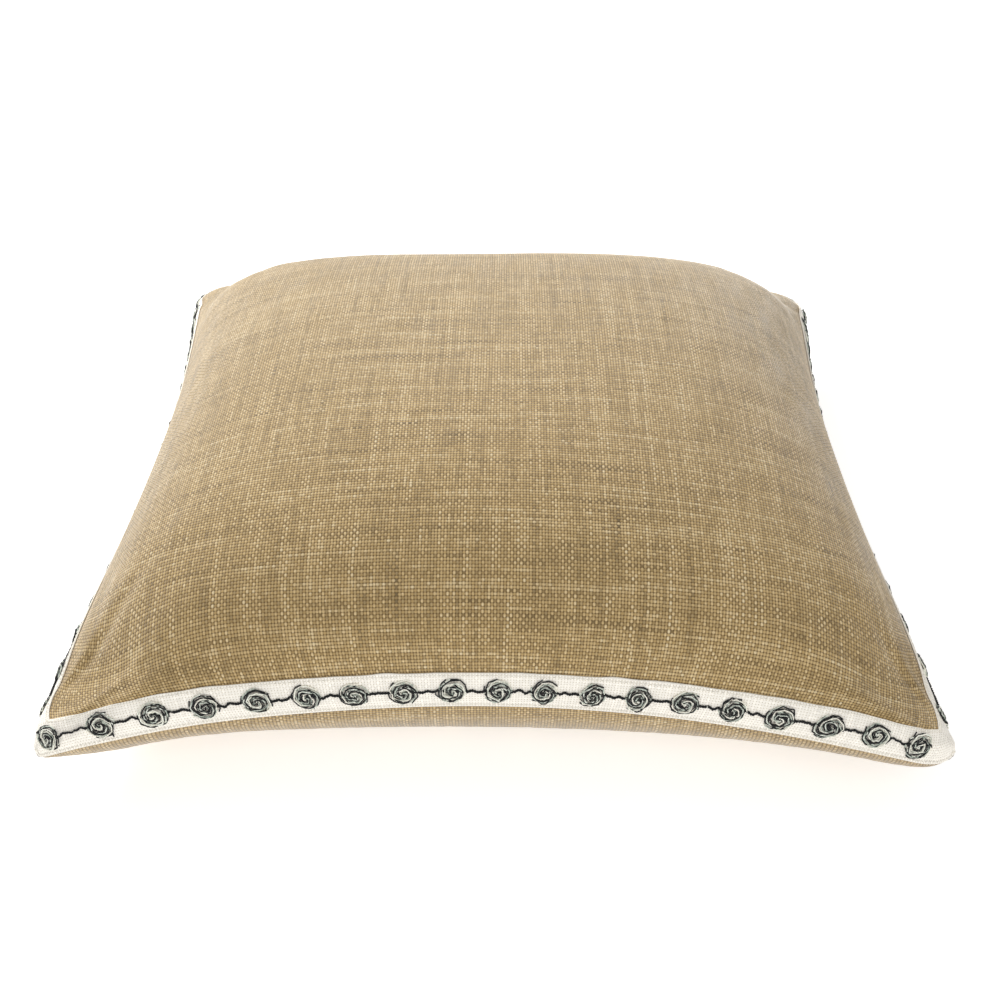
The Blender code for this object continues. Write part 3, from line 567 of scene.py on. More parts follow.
def weave(nodes, place, pitches, wobble):
    """Plain weave over a place in metres: height 0 to 1, warp on top, and both yarns' numbers."""
    drift = nodes.add("ShaderNodeTexNoise", {"Vector": place, "Scale": 0.11 / pitches[0], "Detail": 2.0},
                      out="Color")
    drift = nodes.vector("MULTIPLY", nodes.vector("SUBTRACT", drift, (0.5, 0.5, 0.5)),
                         (wobble, wobble, 0.0))
    spot = nodes.vector("MULTIPLY", place, (1 / pitches[0], 1 / pitches[1], 0.0))
    x, y, _ = nodes.split(nodes.vector("ADD", spot, drift))
    yarn_x, yarn_y = nodes.math("ROUND", x), nodes.math("ROUND", y)

    def yarn(across, number, along, turn):
        offset = nodes.share(nodes.minus(across, number), YARN_FILL)
        body = nodes.math("SQRT", nodes.math("SUBTRACT", 1.0, nodes.math("POWER", offset, 2.0), clamp=True))
        phase = nodes.math("COSINE", nodes.times(nodes.plus(along, number), math.pi))
        return nodes.times(body, nodes.scaled(nodes.scaled(phase, 0.5 * turn, 0.5), 0.6, 0.4))

    warp, weft = yarn(x, yarn_x, y, 1.0), yarn(y, yarn_y, x, -1.0)
    rounds = [nodes.scaled(nodes.math("COSINE", nodes.times(value, 2 * math.pi)), 0.5, 0.5)
              for value in (x, y)]
    nub = nodes.math("POWER", nodes.times(*rounds), 0.35)
    height = nodes.scaled(nodes.math("MAXIMUM", warp, weft), 1 - NUB_SHARE, nodes.times(nub, NUB_SHARE))
    return height, nodes.math("GREATER_THAN", warp, weft), (x, y, yarn_x, yarn_y)


def yarn_tones(nodes, numbers, seed):
    """Uneven lightness of the warp and of the weft yarns: thick and thin, with pale nubs."""
    x, y, yarn_x, yarn_y = numbers

    def tone(number, along, shift):
        def pattern(crowding, stretch, detail):
            spot = nodes.join(nodes.times(number, crowding), nodes.times(along, stretch), shift)
            return nodes.noise(spot, 1.0, detail)

        row = nodes.chance([nodes.plus(number, shift)])
        tone = nodes.scaled(row, 0.12, -0.06)
        tone = nodes.vary(tone, pattern(3.7, 0.05, 2.0), 1.10)
        tone = nodes.vary(tone, pattern(0.45, 0.014, 2.0), 1.30)
        nub = nodes.ease(pattern(2.3, 0.55, 1.0), 0.56, 0.74)
        return nodes.plus(tone, nodes.times(nub, 0.26))

    return tone(yarn_x, y, seed), tone(yarn_y, x, seed + 31.7)


def woven_tone(nodes, warp_on_top, numbers, seed):
    """Lightness of whichever yarn is on top."""
    warp, weft = yarn_tones(nodes, numbers, seed)
    return nodes.add("ShaderNodeMix", {0: warp_on_top, 2: weft, 3: warp}, data_type="FLOAT")


def make_cover_cloth(settings):
    """Khaki slub cloth in a plain weave, with darker gaps and paler nubs."""
    nodes = Look("Cover cloth", 0.88, sheen=0.75, sheen_roughness=0.42, specular=0.25)
    place = nodes.cloth_place()
    height, warp_on_top, numbers = weave(nodes, place, (settings.warp_pitch, settings.weft_pitch), 0.22)
    fibre = nodes.noise(place, 1900.0, 3.0, 0.6)
    cloudy = nodes.noise(place, 9.0, 3.0, 0.55)
    bead = nodes.chance((*numbers[2:], 0.0))
    tone = nodes.vary(woven_tone(nodes, warp_on_top, numbers, 2.0), bead, 0.28)
    tone = nodes.plus(nodes.vary(tone, fibre, 0.26), nodes.scaled(cloudy, 0.16, 0.92))
    yarn = nodes.mix(warp_on_top, linear(settings.weft_colour), linear(settings.warp_colour))
    yarn = nodes.mix(nodes.ease(tone, 1.0, 1.6, 0.0, 0.75), nodes.tint(yarn, tone),
                     linear(settings.nub_colour))
    colour = nodes.mix(nodes.ease(height, 0.12, 0.78), linear(settings.gap_colour), yarn)
    return nodes.finish(colour, nodes.scaled(fibre, 0.14, height), settings.relief, 1.0)


def make_trim_cloth(settings):
    """Cream band in a close, fine weave with faint warm gaps."""
    nodes = Look("Trim cloth", 0.9, sheen=0.12, specular=0.2)
    place = nodes.cloth_place()
    height, warp_on_top, numbers = weave(nodes, place, (settings.band_pitch,) * 2, 0.15)
    fibre = nodes.noise(place, 2600.0, 3.0, 0.6)
    tone = nodes.scaled(woven_tone(nodes, warp_on_top, numbers, 9.0), 0.30,
                        nodes.scaled(fibre, 0.08, 0.95))
    colour = nodes.mix(nodes.ease(height, 0.05, 0.5), linear(settings.band_gap_colour),
                       nodes.tint(linear(settings.band_colour), tone))
    return nodes.finish(colour, nodes.scaled(fibre, 0.15, height), 0.0003, 0.7)


def make_rosette_yarn(settings):
    """Embroidery yarns side by side: black, grey-green, pale and cream, each with a ply twist."""
    nodes = Look("Rosette yarn", 0.7, sheen=0.15, specular=0.3)
    strand, tone, run = (nodes.add("ShaderNodeAttribute", out="Fac", attribute_name=name)
                         for name in ("strand", "tone", "run"))
    place = nodes.object_place()
    shift = nodes.vary(nodes.scaled(nodes.noise(place, 230.0, 2.0), 0.44, -0.22), tone, 0.10)
    ramp = nodes.add("ShaderNodeValToRGB", {0: nodes.plus(strand, shift)})
    bands = ramp.node.color_ramp
    dark, pale, green = settings.dark_colour, settings.pale_colour, settings.green_colour
    shades = ((0.0, dark), (0.20, dark), (0.23, pale), (0.35, green), (0.38, dark), (0.60, dark),
              (0.63, green), (0.76, settings.cream_colour), (0.92, pale))
    while len(bands.elements) < len(shades):
        bands.elements.new(1.0)
    for element, (spot, shade) in zip(bands.elements, shades):
        element.position = spot
        element.color = linear(shade)
    twist = nodes.math("SINE", nodes.times(run, 2 * math.pi / 0.0016))
    fibre = nodes.noise(place, 3800.0, 2.0)
    colour = nodes.tint(ramp, nodes.scaled(fibre, 0.5, nodes.scaled(twist, 0.10, 0.75)))
    return nodes.finish(colour, nodes.scaled(twist, 0.5, fibre), 0.0002, 0.6)


def make_thread(name, colour):
    """Spun sewing thread with a fine ply and slight fuzz."""
    nodes = Look(name, 0.62, sheen=0.1, specular=0.35)
    place = nodes.object_place()
    ply = nodes.add("ShaderNodeTexWave", {"Vector": place, "Scale": 900.0, "Distortion": 2.0}, out="Fac",
                    bands_direction="DIAGONAL")
    tone = nodes.vary(nodes.scaled(ply, 0.14, 0.86), nodes.noise(place, 4200.0, 2.0), 0.2)
    return nodes.finish(nodes.tint(linear(colour), tone), ply, 0.00012)


def make_zip_tape(settings):
    """Zip tape in a herringbone of fine ribs."""
    nodes = Look("Zip tape", 0.8, sheen=0.12, specular=0.3)
    place = nodes.cloth_place()
    x, y, _ = nodes.split(place)
    lean = nodes.math("PINGPONG", y, 0.0018)
    rib = nodes.math("SINE", nodes.times(nodes.plus(x, lean), 2 * math.pi / 0.0011))
    fibre = nodes.noise(place, 3000.0, 2.0)
    tone = nodes.vary(nodes.scaled(rib, 0.10, 0.92), fibre, 0.2)
    return nodes.finish(nodes.tint(linear(settings.tape_colour), tone), nodes.scaled(fibre, 0.3, rib),
                        0.0002)


def make_nylon(settings):
    """Zip coil: dull-shining nylon wire with slight draw lines."""
    nodes = Look("Zip nylon", 0.36)
    lines = nodes.noise(nodes.object_place(), 1500.0, 2.0)
    colour = nodes.tint(linear(settings.nylon_colour), nodes.scaled(lines, 0.24, 0.88))
    return nodes.finish(colour, lines, 0.00005, 0.4, nodes.scaled(lines, 0.3, 0.22))


def make_brass(settings):
    """Old brass with rubbed high spots, small scratches and a dull film."""
    nodes = Look("Zip metal", 0.3, metallic=1.0)
    place = nodes.object_place()
    film = nodes.ease(nodes.noise(place, 420.0, 4.0, 0.6), 0.35, 0.68)
    streak = nodes.noise(nodes.vector("MULTIPLY", place, (300.0, 3600.0, 2600.0)), 1.0, 3.0)
    colour = nodes.mix(film, linear(settings.brass_colour), linear(settings.dull_brass_colour))
    rough = nodes.vary(nodes.scaled(film, 0.22, 0.20), streak, 0.2)
    return nodes.finish(colour, nodes.plus(film, streak), 0.00004, roughness=rough)


def make_casing_cloth():
    """Plain white inner casing: thin spun cloth."""
    nodes = Look("Casing cloth", 0.9, sheen=0.1, specular=0.2)
    place = nodes.vector("MULTIPLY", nodes.object_place(), (1.0, 1.0, 0.6))
    height, _, numbers = weave(nodes, place, (0.0012, 0.0012), 0.2)
    tone = nodes.scaled(nodes.plus(*yarn_tones(nodes, numbers, 4.0)), 0.12, 0.97)
    # Darker colour in the hollows between the yarns, mixed in by the weave's height: painted shade.
    colour = nodes.mix(height, linear((0.80, 0.79, 0.76)), linear((0.93, 0.92, 0.89)))
    return nodes.finish(nodes.tint(colour, tone), height, 0.0002)


def make_fibre():
    """White polyester filling: tangled fine fibres."""
    nodes = Look("Fibre filling", 0.95, sheen=0.3, specular=0.1)
    place = nodes.object_place()
    strands = nodes.noise(nodes.vector("MULTIPLY", place, (260.0, 900.0, 500.0)), 1.0, 5.0, 0.7)
    clumps = nodes.noise(place, 34.0, 4.0, 0.6)
    tone = nodes.plus(nodes.scaled(strands, 0.24, 0.72), nodes.times(clumps, 0.28))
    return nodes.finish(nodes.tint(linear((0.95, 0.95, 0.93)), tone), nodes.plus(strands, clumps), 0.002,
                        0.6)


MATERIALS = {}


def material_for(slot):
    """The material of a finish, made once."""
    if slot not in MATERIALS:
        scene = bpy.context.scene
        makers = {
            "cover_cloth": lambda: make_cover_cloth(scene.cushion_cloth),
            "trim_cloth": lambda: make_trim_cloth(scene.cushion_trim),
            "rosette_yarn": lambda: make_rosette_yarn(scene.cushion_rosette),
            "sewing_thread": lambda: make_thread("Sewing thread", scene.cushion_trim.thread_colour),
            "zip_tape": lambda: make_zip_tape(scene.cushion_zip),
            "zip_nylon": lambda: make_nylon(scene.cushion_zip),
            "zip_metal": lambda: make_brass(scene.cushion_zip),
            "casing_cloth": make_casing_cloth,
            "fibre_filling": make_fibre,
        }
        MATERIALS[slot] = makers[slot]()
    return MATERIALS[slot]


def hand_over(piece, nodes, body="cover"):
    """Put a finished piece on its body, in place of its CAD nodes."""
    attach(piece, body)
    if nodes:
        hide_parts(*nodes)
    return piece


# Geometry Nodes ---------------------------------------------------------------------------------

class Pattern(Tree):
    """A Geometry Nodes tree with named inputs: numbers, whole numbers and a material."""

    def __init__(self, name, numbers, whole=()):
        tree = bpy.data.node_groups.new(name, "GeometryNodeTree")
        kinds = [("Geometry", "Geometry"), *((label, "Float") for label in numbers),
                 *((label, "Int") for label in whole), ("Material", "Material")]
        for label, kind in kinds:
            tree.interface.new_socket(label, in_out="INPUT", socket_type="NodeSocket" + kind)
        tree.interface.new_socket("Geometry", in_out="OUTPUT", socket_type="NodeSocketGeometry")
        super().__init__(tree)
        entry = tree.nodes.new("NodeGroupInput")
        self.given = {socket.name: socket for socket in entry.outputs if socket.name}

    def spun(self, angle):
        """A turn about Z."""
        return self.add("FunctionNodeEulerToRotation", {0: self.join(0.0, 0.0, angle)})

    def random(self, low, high, seed):
        return self.add("FunctionNodeRandomValue", {"Min": low, "Max": high, "Seed": seed}, out="Value",
                        data_type="FLOAT")

    def named(self, label):
        return self.geometry("InputNamedAttribute", {"Name": label}, out="Attribute", data_type="FLOAT")

    def keep(self, geometry, label, value, domain="POINT"):
        return self.geometry("StoreNamedAttribute", {"Geometry": geometry, "Name": label, "Value": value},
                             data_type="FLOAT", domain=domain)

    def copies(self, piece, rotation=None, scale=None):
        """One copy of a piece at each given point."""
        centres = self.geometry("MeshToPoints", {0: self.given["Geometry"]})
        return self.geometry("InstanceOnPoints", {"Points": centres, "Instance": piece,
                                                  "Rotation": rotation, "Scale": scale})

    def tube(self, curve, radius, sides, taper=None):
        """A round strand along a curve, with its ends filled."""
        profile = self.geometry("CurvePrimitiveCircle", {"Resolution": sides, "Radius": radius})
        if taper is not None:
            curve = self.geometry("SetCurveRadius", {0: curve, "Radius": taper})
        body = self.geometry("CurveToMesh", {"Curve": curve, "Profile Curve": profile, "Fill Caps": True})
        return self.geometry("SetShadeSmooth", {0: body, "Shade Smooth": True})

    def finish(self, geometry):
        """Realize the copies, set their material and send them out; returns the tree."""
        whole = self.geometry("RealizeInstances", {0: geometry})
        whole = self.geometry("SetMaterial", {0: whole, "Material": self.given["Material"]})
        self.add("NodeGroupOutput", {0: whole})
        return self.tree


def apply_modifiers(piece):
    """Swap a piece's mesh for what its modifiers make of it."""
    bpy.context.view_layer.update()
    evaluated = piece.evaluated_get(bpy.context.evaluated_depsgraph_get())
    mesh = bpy.data.meshes.new_from_object(evaluated)
    piece.modifiers.clear()
    piece.data = mesh


def run_pattern(tree, name, points, settings, attributes=None, edges=()):
    """A plain mesh object from a Geometry Nodes tree run on points."""
    mesh = bpy.data.meshes.new(name)
    mesh.from_pydata([tuple(map(float, point)) for point in points], list(edges), [])
    for label, values in (attributes or {}).items():
        layer = mesh.attributes.new(label, "FLOAT", "POINT")
        layer.data.foreach_set("value", np.asarray(values, np.float32))
    piece = new_piece(name, mesh)
    change = piece.modifiers.new("Pattern", "NODES")
    change.node_group = tree
    for item in tree.interface.items_tree:
        if item.item_type == "SOCKET" and item.in_out == "INPUT" and item.name in settings:
            change[item.identifier] = settings[item.name]
    apply_modifiers(piece)
    bpy.data.meshes.remove(mesh)
    if not piece.data.polygons:
        raise RuntimeError(name + " came out empty")
    piece.data.name = name
    return piece


def place_points(piece, way):
    """Carry a piece's points from flat places to where they belong."""
    flat = np.empty(len(piece.data.vertices) * 3)
    piece.data.vertices.foreach_get("co", flat)
    piece.data.vertices.foreach_set("co", way(flat.reshape(-1, 3)).ravel())
    piece.data.update()


def rosette_pattern():
    """Wound rosettes: strands side by side, coiled from the middle, one coil at each point."""
    nodes = Pattern("Rosettes", ("Radius", "Turns", "Strand Radius", "Lift", "Dome", "Unevenness"),
                    ("Strands", "Seed"))
    given = nodes.given
    coil = nodes.geometry("CurveSpiral", {
        "Resolution": 17, "Rotations": given["Turns"], "Start Radius": 0.0003,
        "End Radius": given["Radius"], "Height": 0.0})
    for label, out in (("wound", "Factor"), ("run", "Length")):
        coil = nodes.keep(coil, label, nodes.geometry("SplineParameter", out=out))
    number = nodes.geometry("InputIndex")
    turn = nodes.share(nodes.times(number, 2 * math.pi), given["Strands"])
    fan = nodes.geometry("InstanceOnPoints", {
        "Points": nodes.geometry("Points", {"Count": given["Strands"]}), "Instance": coil,
        "Rotation": nodes.spun(turn)})
    fan = nodes.keep(fan, "strand", nodes.share(number, given["Strands"]), "INSTANCE")

    def chance(low, high, step):
        return nodes.random(low, high, nodes.plus(given["Seed"], step))

    size = nodes.join(chance(0.94, 1.06, 2), chance(0.86, 0.98, 3), 1.0)
    copies = nodes.copies(fan, nodes.spun(chance(0.0, 6.28, 1)), size)
    copies = nodes.keep(copies, "tone", chance(0.0, 1.0, 4), "INSTANCE")
    curves = nodes.geometry("RealizeInstances", {0: copies})
    strand, wound = nodes.named("strand"), nodes.named("wound")
    spot = nodes.vector("ADD", nodes.geometry("InputPosition"),
                        nodes.join(0.0, 0.0, nodes.times(strand, 0.011)))
    ruffle = nodes.add("ShaderNodeTexNoise", {"Vector": spot, "Scale": 260.0, "Detail": 2.0}, out="Color")
    reach = nodes.join(given["Unevenness"], given["Unevenness"], nodes.times(given["Unevenness"], 0.7))
    ruffle = nodes.vector("MULTIPLY", nodes.vector("SUBTRACT", ruffle, (0.5, 0.5, 0.5)), reach)
    flatness = nodes.minus(1.0, nodes.math("POWER", wound, 2.0))
    height = nodes.scaled(flatness, given["Dome"], given["Lift"])
    offset = nodes.vector("ADD", ruffle, nodes.join(0.0, 0.0, height))
    curves = nodes.geometry("SetPosition", {"Geometry": curves, "Offset": offset})
    taper = nodes.ease(wound, 0.90, 1.0, 1.0, 0.45)
    return nodes.finish(nodes.tube(curves, given["Strand Radius"], 5, taper))


def twine_pattern():
    """Two plies twisted along a line of points, with a gentle wave in it."""
    nodes = Pattern("Twine", ("Ply Radius", "Twist Length", "Spacing", "Wave", "Lift"))
    given = nodes.given
    line = nodes.geometry("MeshToCurve", {0: given["Geometry"]})
    line = nodes.geometry("ResampleCurve", {0: line, "Length": given["Spacing"]}, mode="LENGTH")
    run = nodes.geometry("SplineParameter", out="Length")
    beside = nodes.vector("CROSS_PRODUCT", (0.0, 0.0, 1.0), nodes.geometry("InputTangent"))
    angle = nodes.share(nodes.times(run, 2 * math.pi), given["Twist Length"])
    wave = nodes.minus(nodes.noise(nodes.join(run, 3.1, 0.0), 150.0, 1.0), 0.5)
    wave = nodes.times(wave, given["Wave"])
    both = nodes.tree.nodes.new("GeometryNodeJoinGeometry")
    for phase, shade in ((0.0, 0.05), (math.pi, 0.17)):
        here = nodes.plus(angle, phase)
        sideways = nodes.scaled(nodes.math("COSINE", here), given["Ply Radius"], wave)
        upwards = nodes.scaled(nodes.math("SINE", here), given["Ply Radius"], given["Lift"])
        offset = nodes.vector("ADD", nodes.vector("SCALE", beside, None, None, sideways),
                              nodes.join(0.0, 0.0, upwards))
        ply = nodes.geometry("SetPosition", {"Geometry": line, "Offset": offset})
        ply = nodes.keep(nodes.keep(ply, "strand", shade), "run", run)
        nodes.tree.links.new(nodes.tube(ply, given["Ply Radius"], 5), both.inputs[0])
    return nodes.finish(both.outputs[0])


def stitch_pattern():
    """One arched stitch at each point, turned to the point's heading."""
    nodes = Pattern("Stitches", ("Length", "Thread Radius", "Arch", "Unevenness"), ("Seed",))
    given = nodes.given
    half = nodes.times(given["Length"], 0.5)
    low = nodes.times(given["Thread Radius"], -0.6)
    arc = nodes.geometry("CurveQuadraticBezier", {
        "Resolution": 5, "Start": nodes.join(nodes.times(half, -1.0), 0.0, low),
        "Middle": nodes.join(0.0, 0.0, nodes.times(given["Arch"], 2.0)),
        "End": nodes.join(half, 0.0, low)})
    lean = nodes.random(nodes.times(given["Unevenness"], -1.0), given["Unevenness"], given["Seed"])
    heading = nodes.plus(nodes.named("heading"), lean)
    return nodes.finish(nodes.copies(nodes.tube(arc, given["Thread Radius"], 6), nodes.spun(heading)))


def coil_pattern():
    """A row of zip teeth: one turn of the coil at each point, every turn meeting the next."""
    nodes = Pattern("Zip coil", ("Pitch", "Half Width", "Half Height", "Wire Radius"))
    given = nodes.given
    line = nodes.geometry("CurvePrimitiveLine", {"Start": (0.0, 0.0, 0.0), "End": (1.0, 0.0, 0.0)})
    line = nodes.geometry("ResampleCurve", {0: line, "Count": 13}, mode="COUNT")
    share = nodes.geometry("SplineParameter", out="Factor")
    angle = nodes.times(share, 2 * math.pi)
    place = nodes.join(nodes.times(nodes.minus(share, 0.5), given["Pitch"]),
                       nodes.times(nodes.math("COSINE", angle), given["Half Width"]),
                       nodes.times(nodes.math("SINE", angle), given["Half Height"]))
    turn = nodes.geometry("SetPosition", {"Geometry": line, "Position": place})
    return nodes.finish(nodes.copies(nodes.tube(turn, given["Wire Radius"], 5)))


# Filling the cover ----------------------------------------------------------------------------

def fill_cover(settings):
    """Blow the sewn cover up as the filling does, and keep how far each place moves."""
    cells = COVER.CELLS
    line = np.sin(np.linspace(-1, 1, cells + 1) * math.pi / 2)
    u, v = np.meshgrid(line, line, indexing="ij")
    top, under = crown(u, v), belly(u, v)
    side = cells + 1
    edge = [i * side + j for i, j in rim(side, side)]
    number = np.full(side * side, -1)
    number[edge] = edge
    inside = np.flatnonzero(number < 0)
    number[inside] = side * side + np.arange(len(inside))
    faces = grid_faces(side, side) + [[int(number[k]) for k in face]
                                      for face in grid_faces(side, side, 0, True)]
    points = np.concatenate([top.reshape(-1, 3), under.reshape(-1, 3)[inside]])
    cloth = add_mesh("filling_cloth", points, faces, material_for("cover_cloth"))
    zip_hold = zip_weight(under[..., 0], under[..., 1], np.full_like(u, CORNER_HALF))
    held = (under[..., 2] < 0.0005) | on_seam(u, v) | (zip_hold > 0.5)
    group = cloth.vertex_groups.new(name="held")
    group.add([int(k) for k in number[np.flatnonzero(held)]], 1.0, "REPLACE")
    change = cloth.modifiers.new("Filling", "CLOTH")
    for name, value in FILLING.items():
        setattr(change.settings, name, value)
    change.settings.uniform_pressure_force = settings.pressure
    change.settings.effector_weights.gravity = 0
    change.collision_settings.use_collision = False
    change.collision_settings.use_self_collision = False
    change.point_cache.frame_start, change.point_cache.frame_end = 1, FILLING_FRAMES + 4
    scene = bpy.context.scene
    for moment in range(1, FILLING_FRAMES + 1):
        scene.frame_set(moment)
    evaluated = cloth.evaluated_get(bpy.context.evaluated_depsgraph_get())
    moved = np.empty(len(points) * 3)
    evaluated.data.vertices.foreach_get("co", moved)
    shift = moved.reshape(-1, 3) - points
    length = np.linalg.norm(shift, axis=1, keepdims=True)
    shift *= np.minimum(1.0, settings.swell_limit / np.maximum(length, 1e-9))
    scene.frame_set(1)
    bpy.data.objects.remove(cloth, do_unlink=True)
    COVER.swell["top"] = shift[:side * side].reshape(side, side, 3)
    free = np.where(held, 0, 1 - zip_hold)
    COVER.swell["under"] = shift[number].reshape(side, side, 3) * free[..., None]


# Settings -------------------------------------------------------------------------------------

def colour_setting(name, description, default):
    return FloatVectorProperty(name=name, description=description, subtype="COLOR_GAMMA", size=3,
                               min=0.0, max=1.0, default=default)


def length_setting(name, description, default):
    return FloatProperty(name=name, description=description, unit="LENGTH", precision=5,
                         min=0.0, default=default)


class ClothSettings(bpy.types.PropertyGroup):
    """The cover's cloth and how full it is."""
    warp_pitch: length_setting("Warp pitch", "Between two yarns that run front to back", FLAT_SIDE / 322)
    weft_pitch: length_setting("Weft pitch", "Between two yarns that run side to side", FLAT_SIDE / 288)
    relief: length_setting("Relief", "How deep the gaps between the yarns are", 0.00042)
    pressure: FloatProperty(name="Pressure", description="How hard the filling pushes", default=4.0)
    swell_limit: length_setting("Swell limit", "How far the filling may move the cloth", 0.0035)
    warp_colour: colour_setting("Warp colour", "Yarns from front to back", (0.775, 0.668, 0.475))
    weft_colour: colour_setting("Weft colour", "Yarns from side to side", (0.715, 0.603, 0.405))
    nub_colour: colour_setting("Nub colour", "Thick, pale spots of the yarns", (0.88, 0.82, 0.68))
    gap_colour: colour_setting("Gap colour", "Shade between the yarns", (0.38, 0.295, 0.17))


class TrimSettings(bpy.types.PropertyGroup):
    """The band round the top and its stitching."""
    band_pitch: length_setting("Band yarn pitch", "Distance between two yarns of the band",
                               FLAT_SIDE / 330)
    band_relief: length_setting("Band relief", "How deep the gaps between its yarns are", 0.00028)
    band_colour: colour_setting("Band colour", "Yarns of the band", (0.985, 0.965, 0.925))
    band_gap_colour: colour_setting("Band gap colour", "Shade between its yarns", (0.74, 0.69, 0.59))
    thread_colour: colour_setting("Thread colour", "Sewing thread", (0.97, 0.95, 0.90))
    stitch_pitch: length_setting("Stitch pitch", "From one stitch to the next", 0.0032)
    stitch_length: length_setting("Stitch length", "Length of one stitch", 0.0025)
    thread_radius: length_setting("Thread radius", "Half the thickness of the thread", 0.00026)


class RosetteSettings(bpy.types.PropertyGroup):
    """The wound rosettes and the twine that links them."""
    pitch: length_setting("Pitch", "From one rosette to the next, away from a corner", 0.0318)
    lead: length_setting("Lead", "From the mitre's middle to the first rosette", 0.0110)
    radius: length_setting("Radius", "Middle to edge of a rosette", 0.0102)
    turns: FloatProperty(name="Turns", description="Turns of each strand", default=1.6)
    strands: IntProperty(name="Strands", description="Strands wound side by side", default=6)
    strand_radius: length_setting("Strand radius", "Half the thickness of a strand", 0.00050)
    dome: length_setting("Dome", "How much higher the middle stands", 0.0012)
    unevenness: length_setting("Unevenness", "How far the strands stray", 0.0056)
    ply_radius: length_setting("Ply radius", "Half the thickness of one ply of twine", 0.00052)
    dark_colour: colour_setting("Dark colour", "Darkest strands and twine", (0.03, 0.035, 0.045))
    pale_colour: colour_setting("Pale colour", "Pale strands", (0.95, 0.96, 0.91))
    green_colour: colour_setting("Green colour", "Grey-green strands", (0.69, 0.73, 0.68))
    cream_colour: colour_setting("Cream colour", "Cream strands", (0.97, 0.95, 0.89))


class ZipSettings(bpy.types.PropertyGroup):
    """The zip in the underside."""
    tooth_pitch: length_setting("Tooth pitch", "From one turn of the coil to the next", 0.0015)
    edge_radius: length_setting("Edge radius", "Rounding of the metal's edges", 0.00016)
    tape_colour: colour_setting("Tape colour", "Woven tape", (0.66, 0.57, 0.42))
    nylon_colour: colour_setting("Nylon colour", "Teeth", (0.62, 0.53, 0.38))
    brass_colour: colour_setting("Brass colour", "Rubbed metal", (0.80, 0.66, 0.38))
    dull_brass_colour: colour_setting("Dull brass colour", "Metal under its film", (0.55, 0.44, 0.26))


class StageSettings(bpy.types.PropertyGroup):
    """Camera, light and floor."""
    lens: FloatProperty(name="Lens", description="Focal length on a 36 mm sensor, in millimetres",
                        default=49.24)
    eye: FloatVectorProperty(name="Eye", description="Where the camera stands", subtype="TRANSLATION",
                             size=3, default=(0.0021, -0.9055, 0.7007))
    down: FloatProperty(name="Downward tilt", description="How far down the camera looks",
                        subtype="ANGLE", default=0.6387)
    roll: FloatProperty(name="Roll", description="Turn of the camera about its own axis",
                        subtype="ANGLE", default=0.0137)
    key_power: FloatProperty(name="Key light", description="Main light, in watts", default=94.0)
    fill_power: FloatProperty(name="Fill light", description="Soft light from the front, in watts",
                              default=18.0)
    floor_glow: FloatProperty(name="Floor glow", description="Light of the floor itself", default=0.56)
    sky: FloatProperty(name="Sky", description="Brightness all round", default=0.50)


# Operators --------------------------------------------------------------------------------------

class MakerStep(bpy.types.Operator):
    """Base of the steps that make one piece or one group of pieces."""
    bl_options = {"REGISTER"}


class CUSHION_OT_fill(MakerStep):
    """Fill the sewn cover, so that every later piece follows its swell"""
    bl_idname = "cushion.fill"
    bl_label = "Fill the Cover"

    def execute(self, context):
        fill_cover(context.scene.cushion_cloth)
        return {"FINISHED"}


class CUSHION_OT_top_panel(MakerStep):
    """Make the woven top panel, seam to seam"""
    bl_idname = "cushion.top_panel"
    bl_label = "Top Panel"

    def execute(self, context):
        settings = context.scene.cushion_cloth
        coarseness = 4
        counts = [coarseness * round(FLAT_SIDE / pitch * 2 / coarseness) + 1
                  for pitch in (settings.warp_pitch, settings.weft_pitch)]
        x, y = np.meshgrid(*(np.linspace(-FLAT_HALF, FLAT_HALF, count) for count in counts), indexing="ij")
        depth = FLAT_HALF - np.maximum(np.abs(x), np.abs(y))
        relief = settings.relief * (0.85 + 0.35 * wander(x, y * 0.3, 0.02, 5))
        hollow = dimples(x / settings.warp_pitch, y / settings.weft_pitch)
        lift = -relief * hollow * smooth(depth / 0.003)
        outer = COVER.carry(np.stack([x, y, lift], -1), COVER.even_top)
        coarse = np.s_[::coarseness, ::coarseness]
        inner = np.stack([x, y, np.full_like(x, -COVER_THICKNESS)], -1)[coarse]
        inner = COVER.carry(inner, COVER.even_top)
        panel = add_sheet("top_cloth", outer, inner, coarseness, np.stack([x, y], -1),
                          material_for("cover_cloth"))
        hand_over(panel, ["top_panel"])
        return {"FINISHED"}


def share_at_y(u, y):
    """The v at which each column u crosses a line parallel to the front edge."""
    low, high = np.full_like(u, -1.0), np.full_like(u, 1.0)
    for _ in range(40):
        middle = (low + high) / 2
        below = plan(u, middle)[1] < y
        low, high = np.where(below, middle, low), np.where(below, high, middle)
    return (low + high) / 2


def even_shares(points, shares, pitch, coarseness):
    """Shares at even distances along a line of points, and those distances."""
    run = run_along(points)
    cells = coarseness * max(1, round(run[-1] / pitch * 2 / coarseness))
    wanted = np.linspace(0, run[-1], cells + 1)
    return np.interp(wanted, run, shares), wanted / run[-1] * cells * pitch / 2


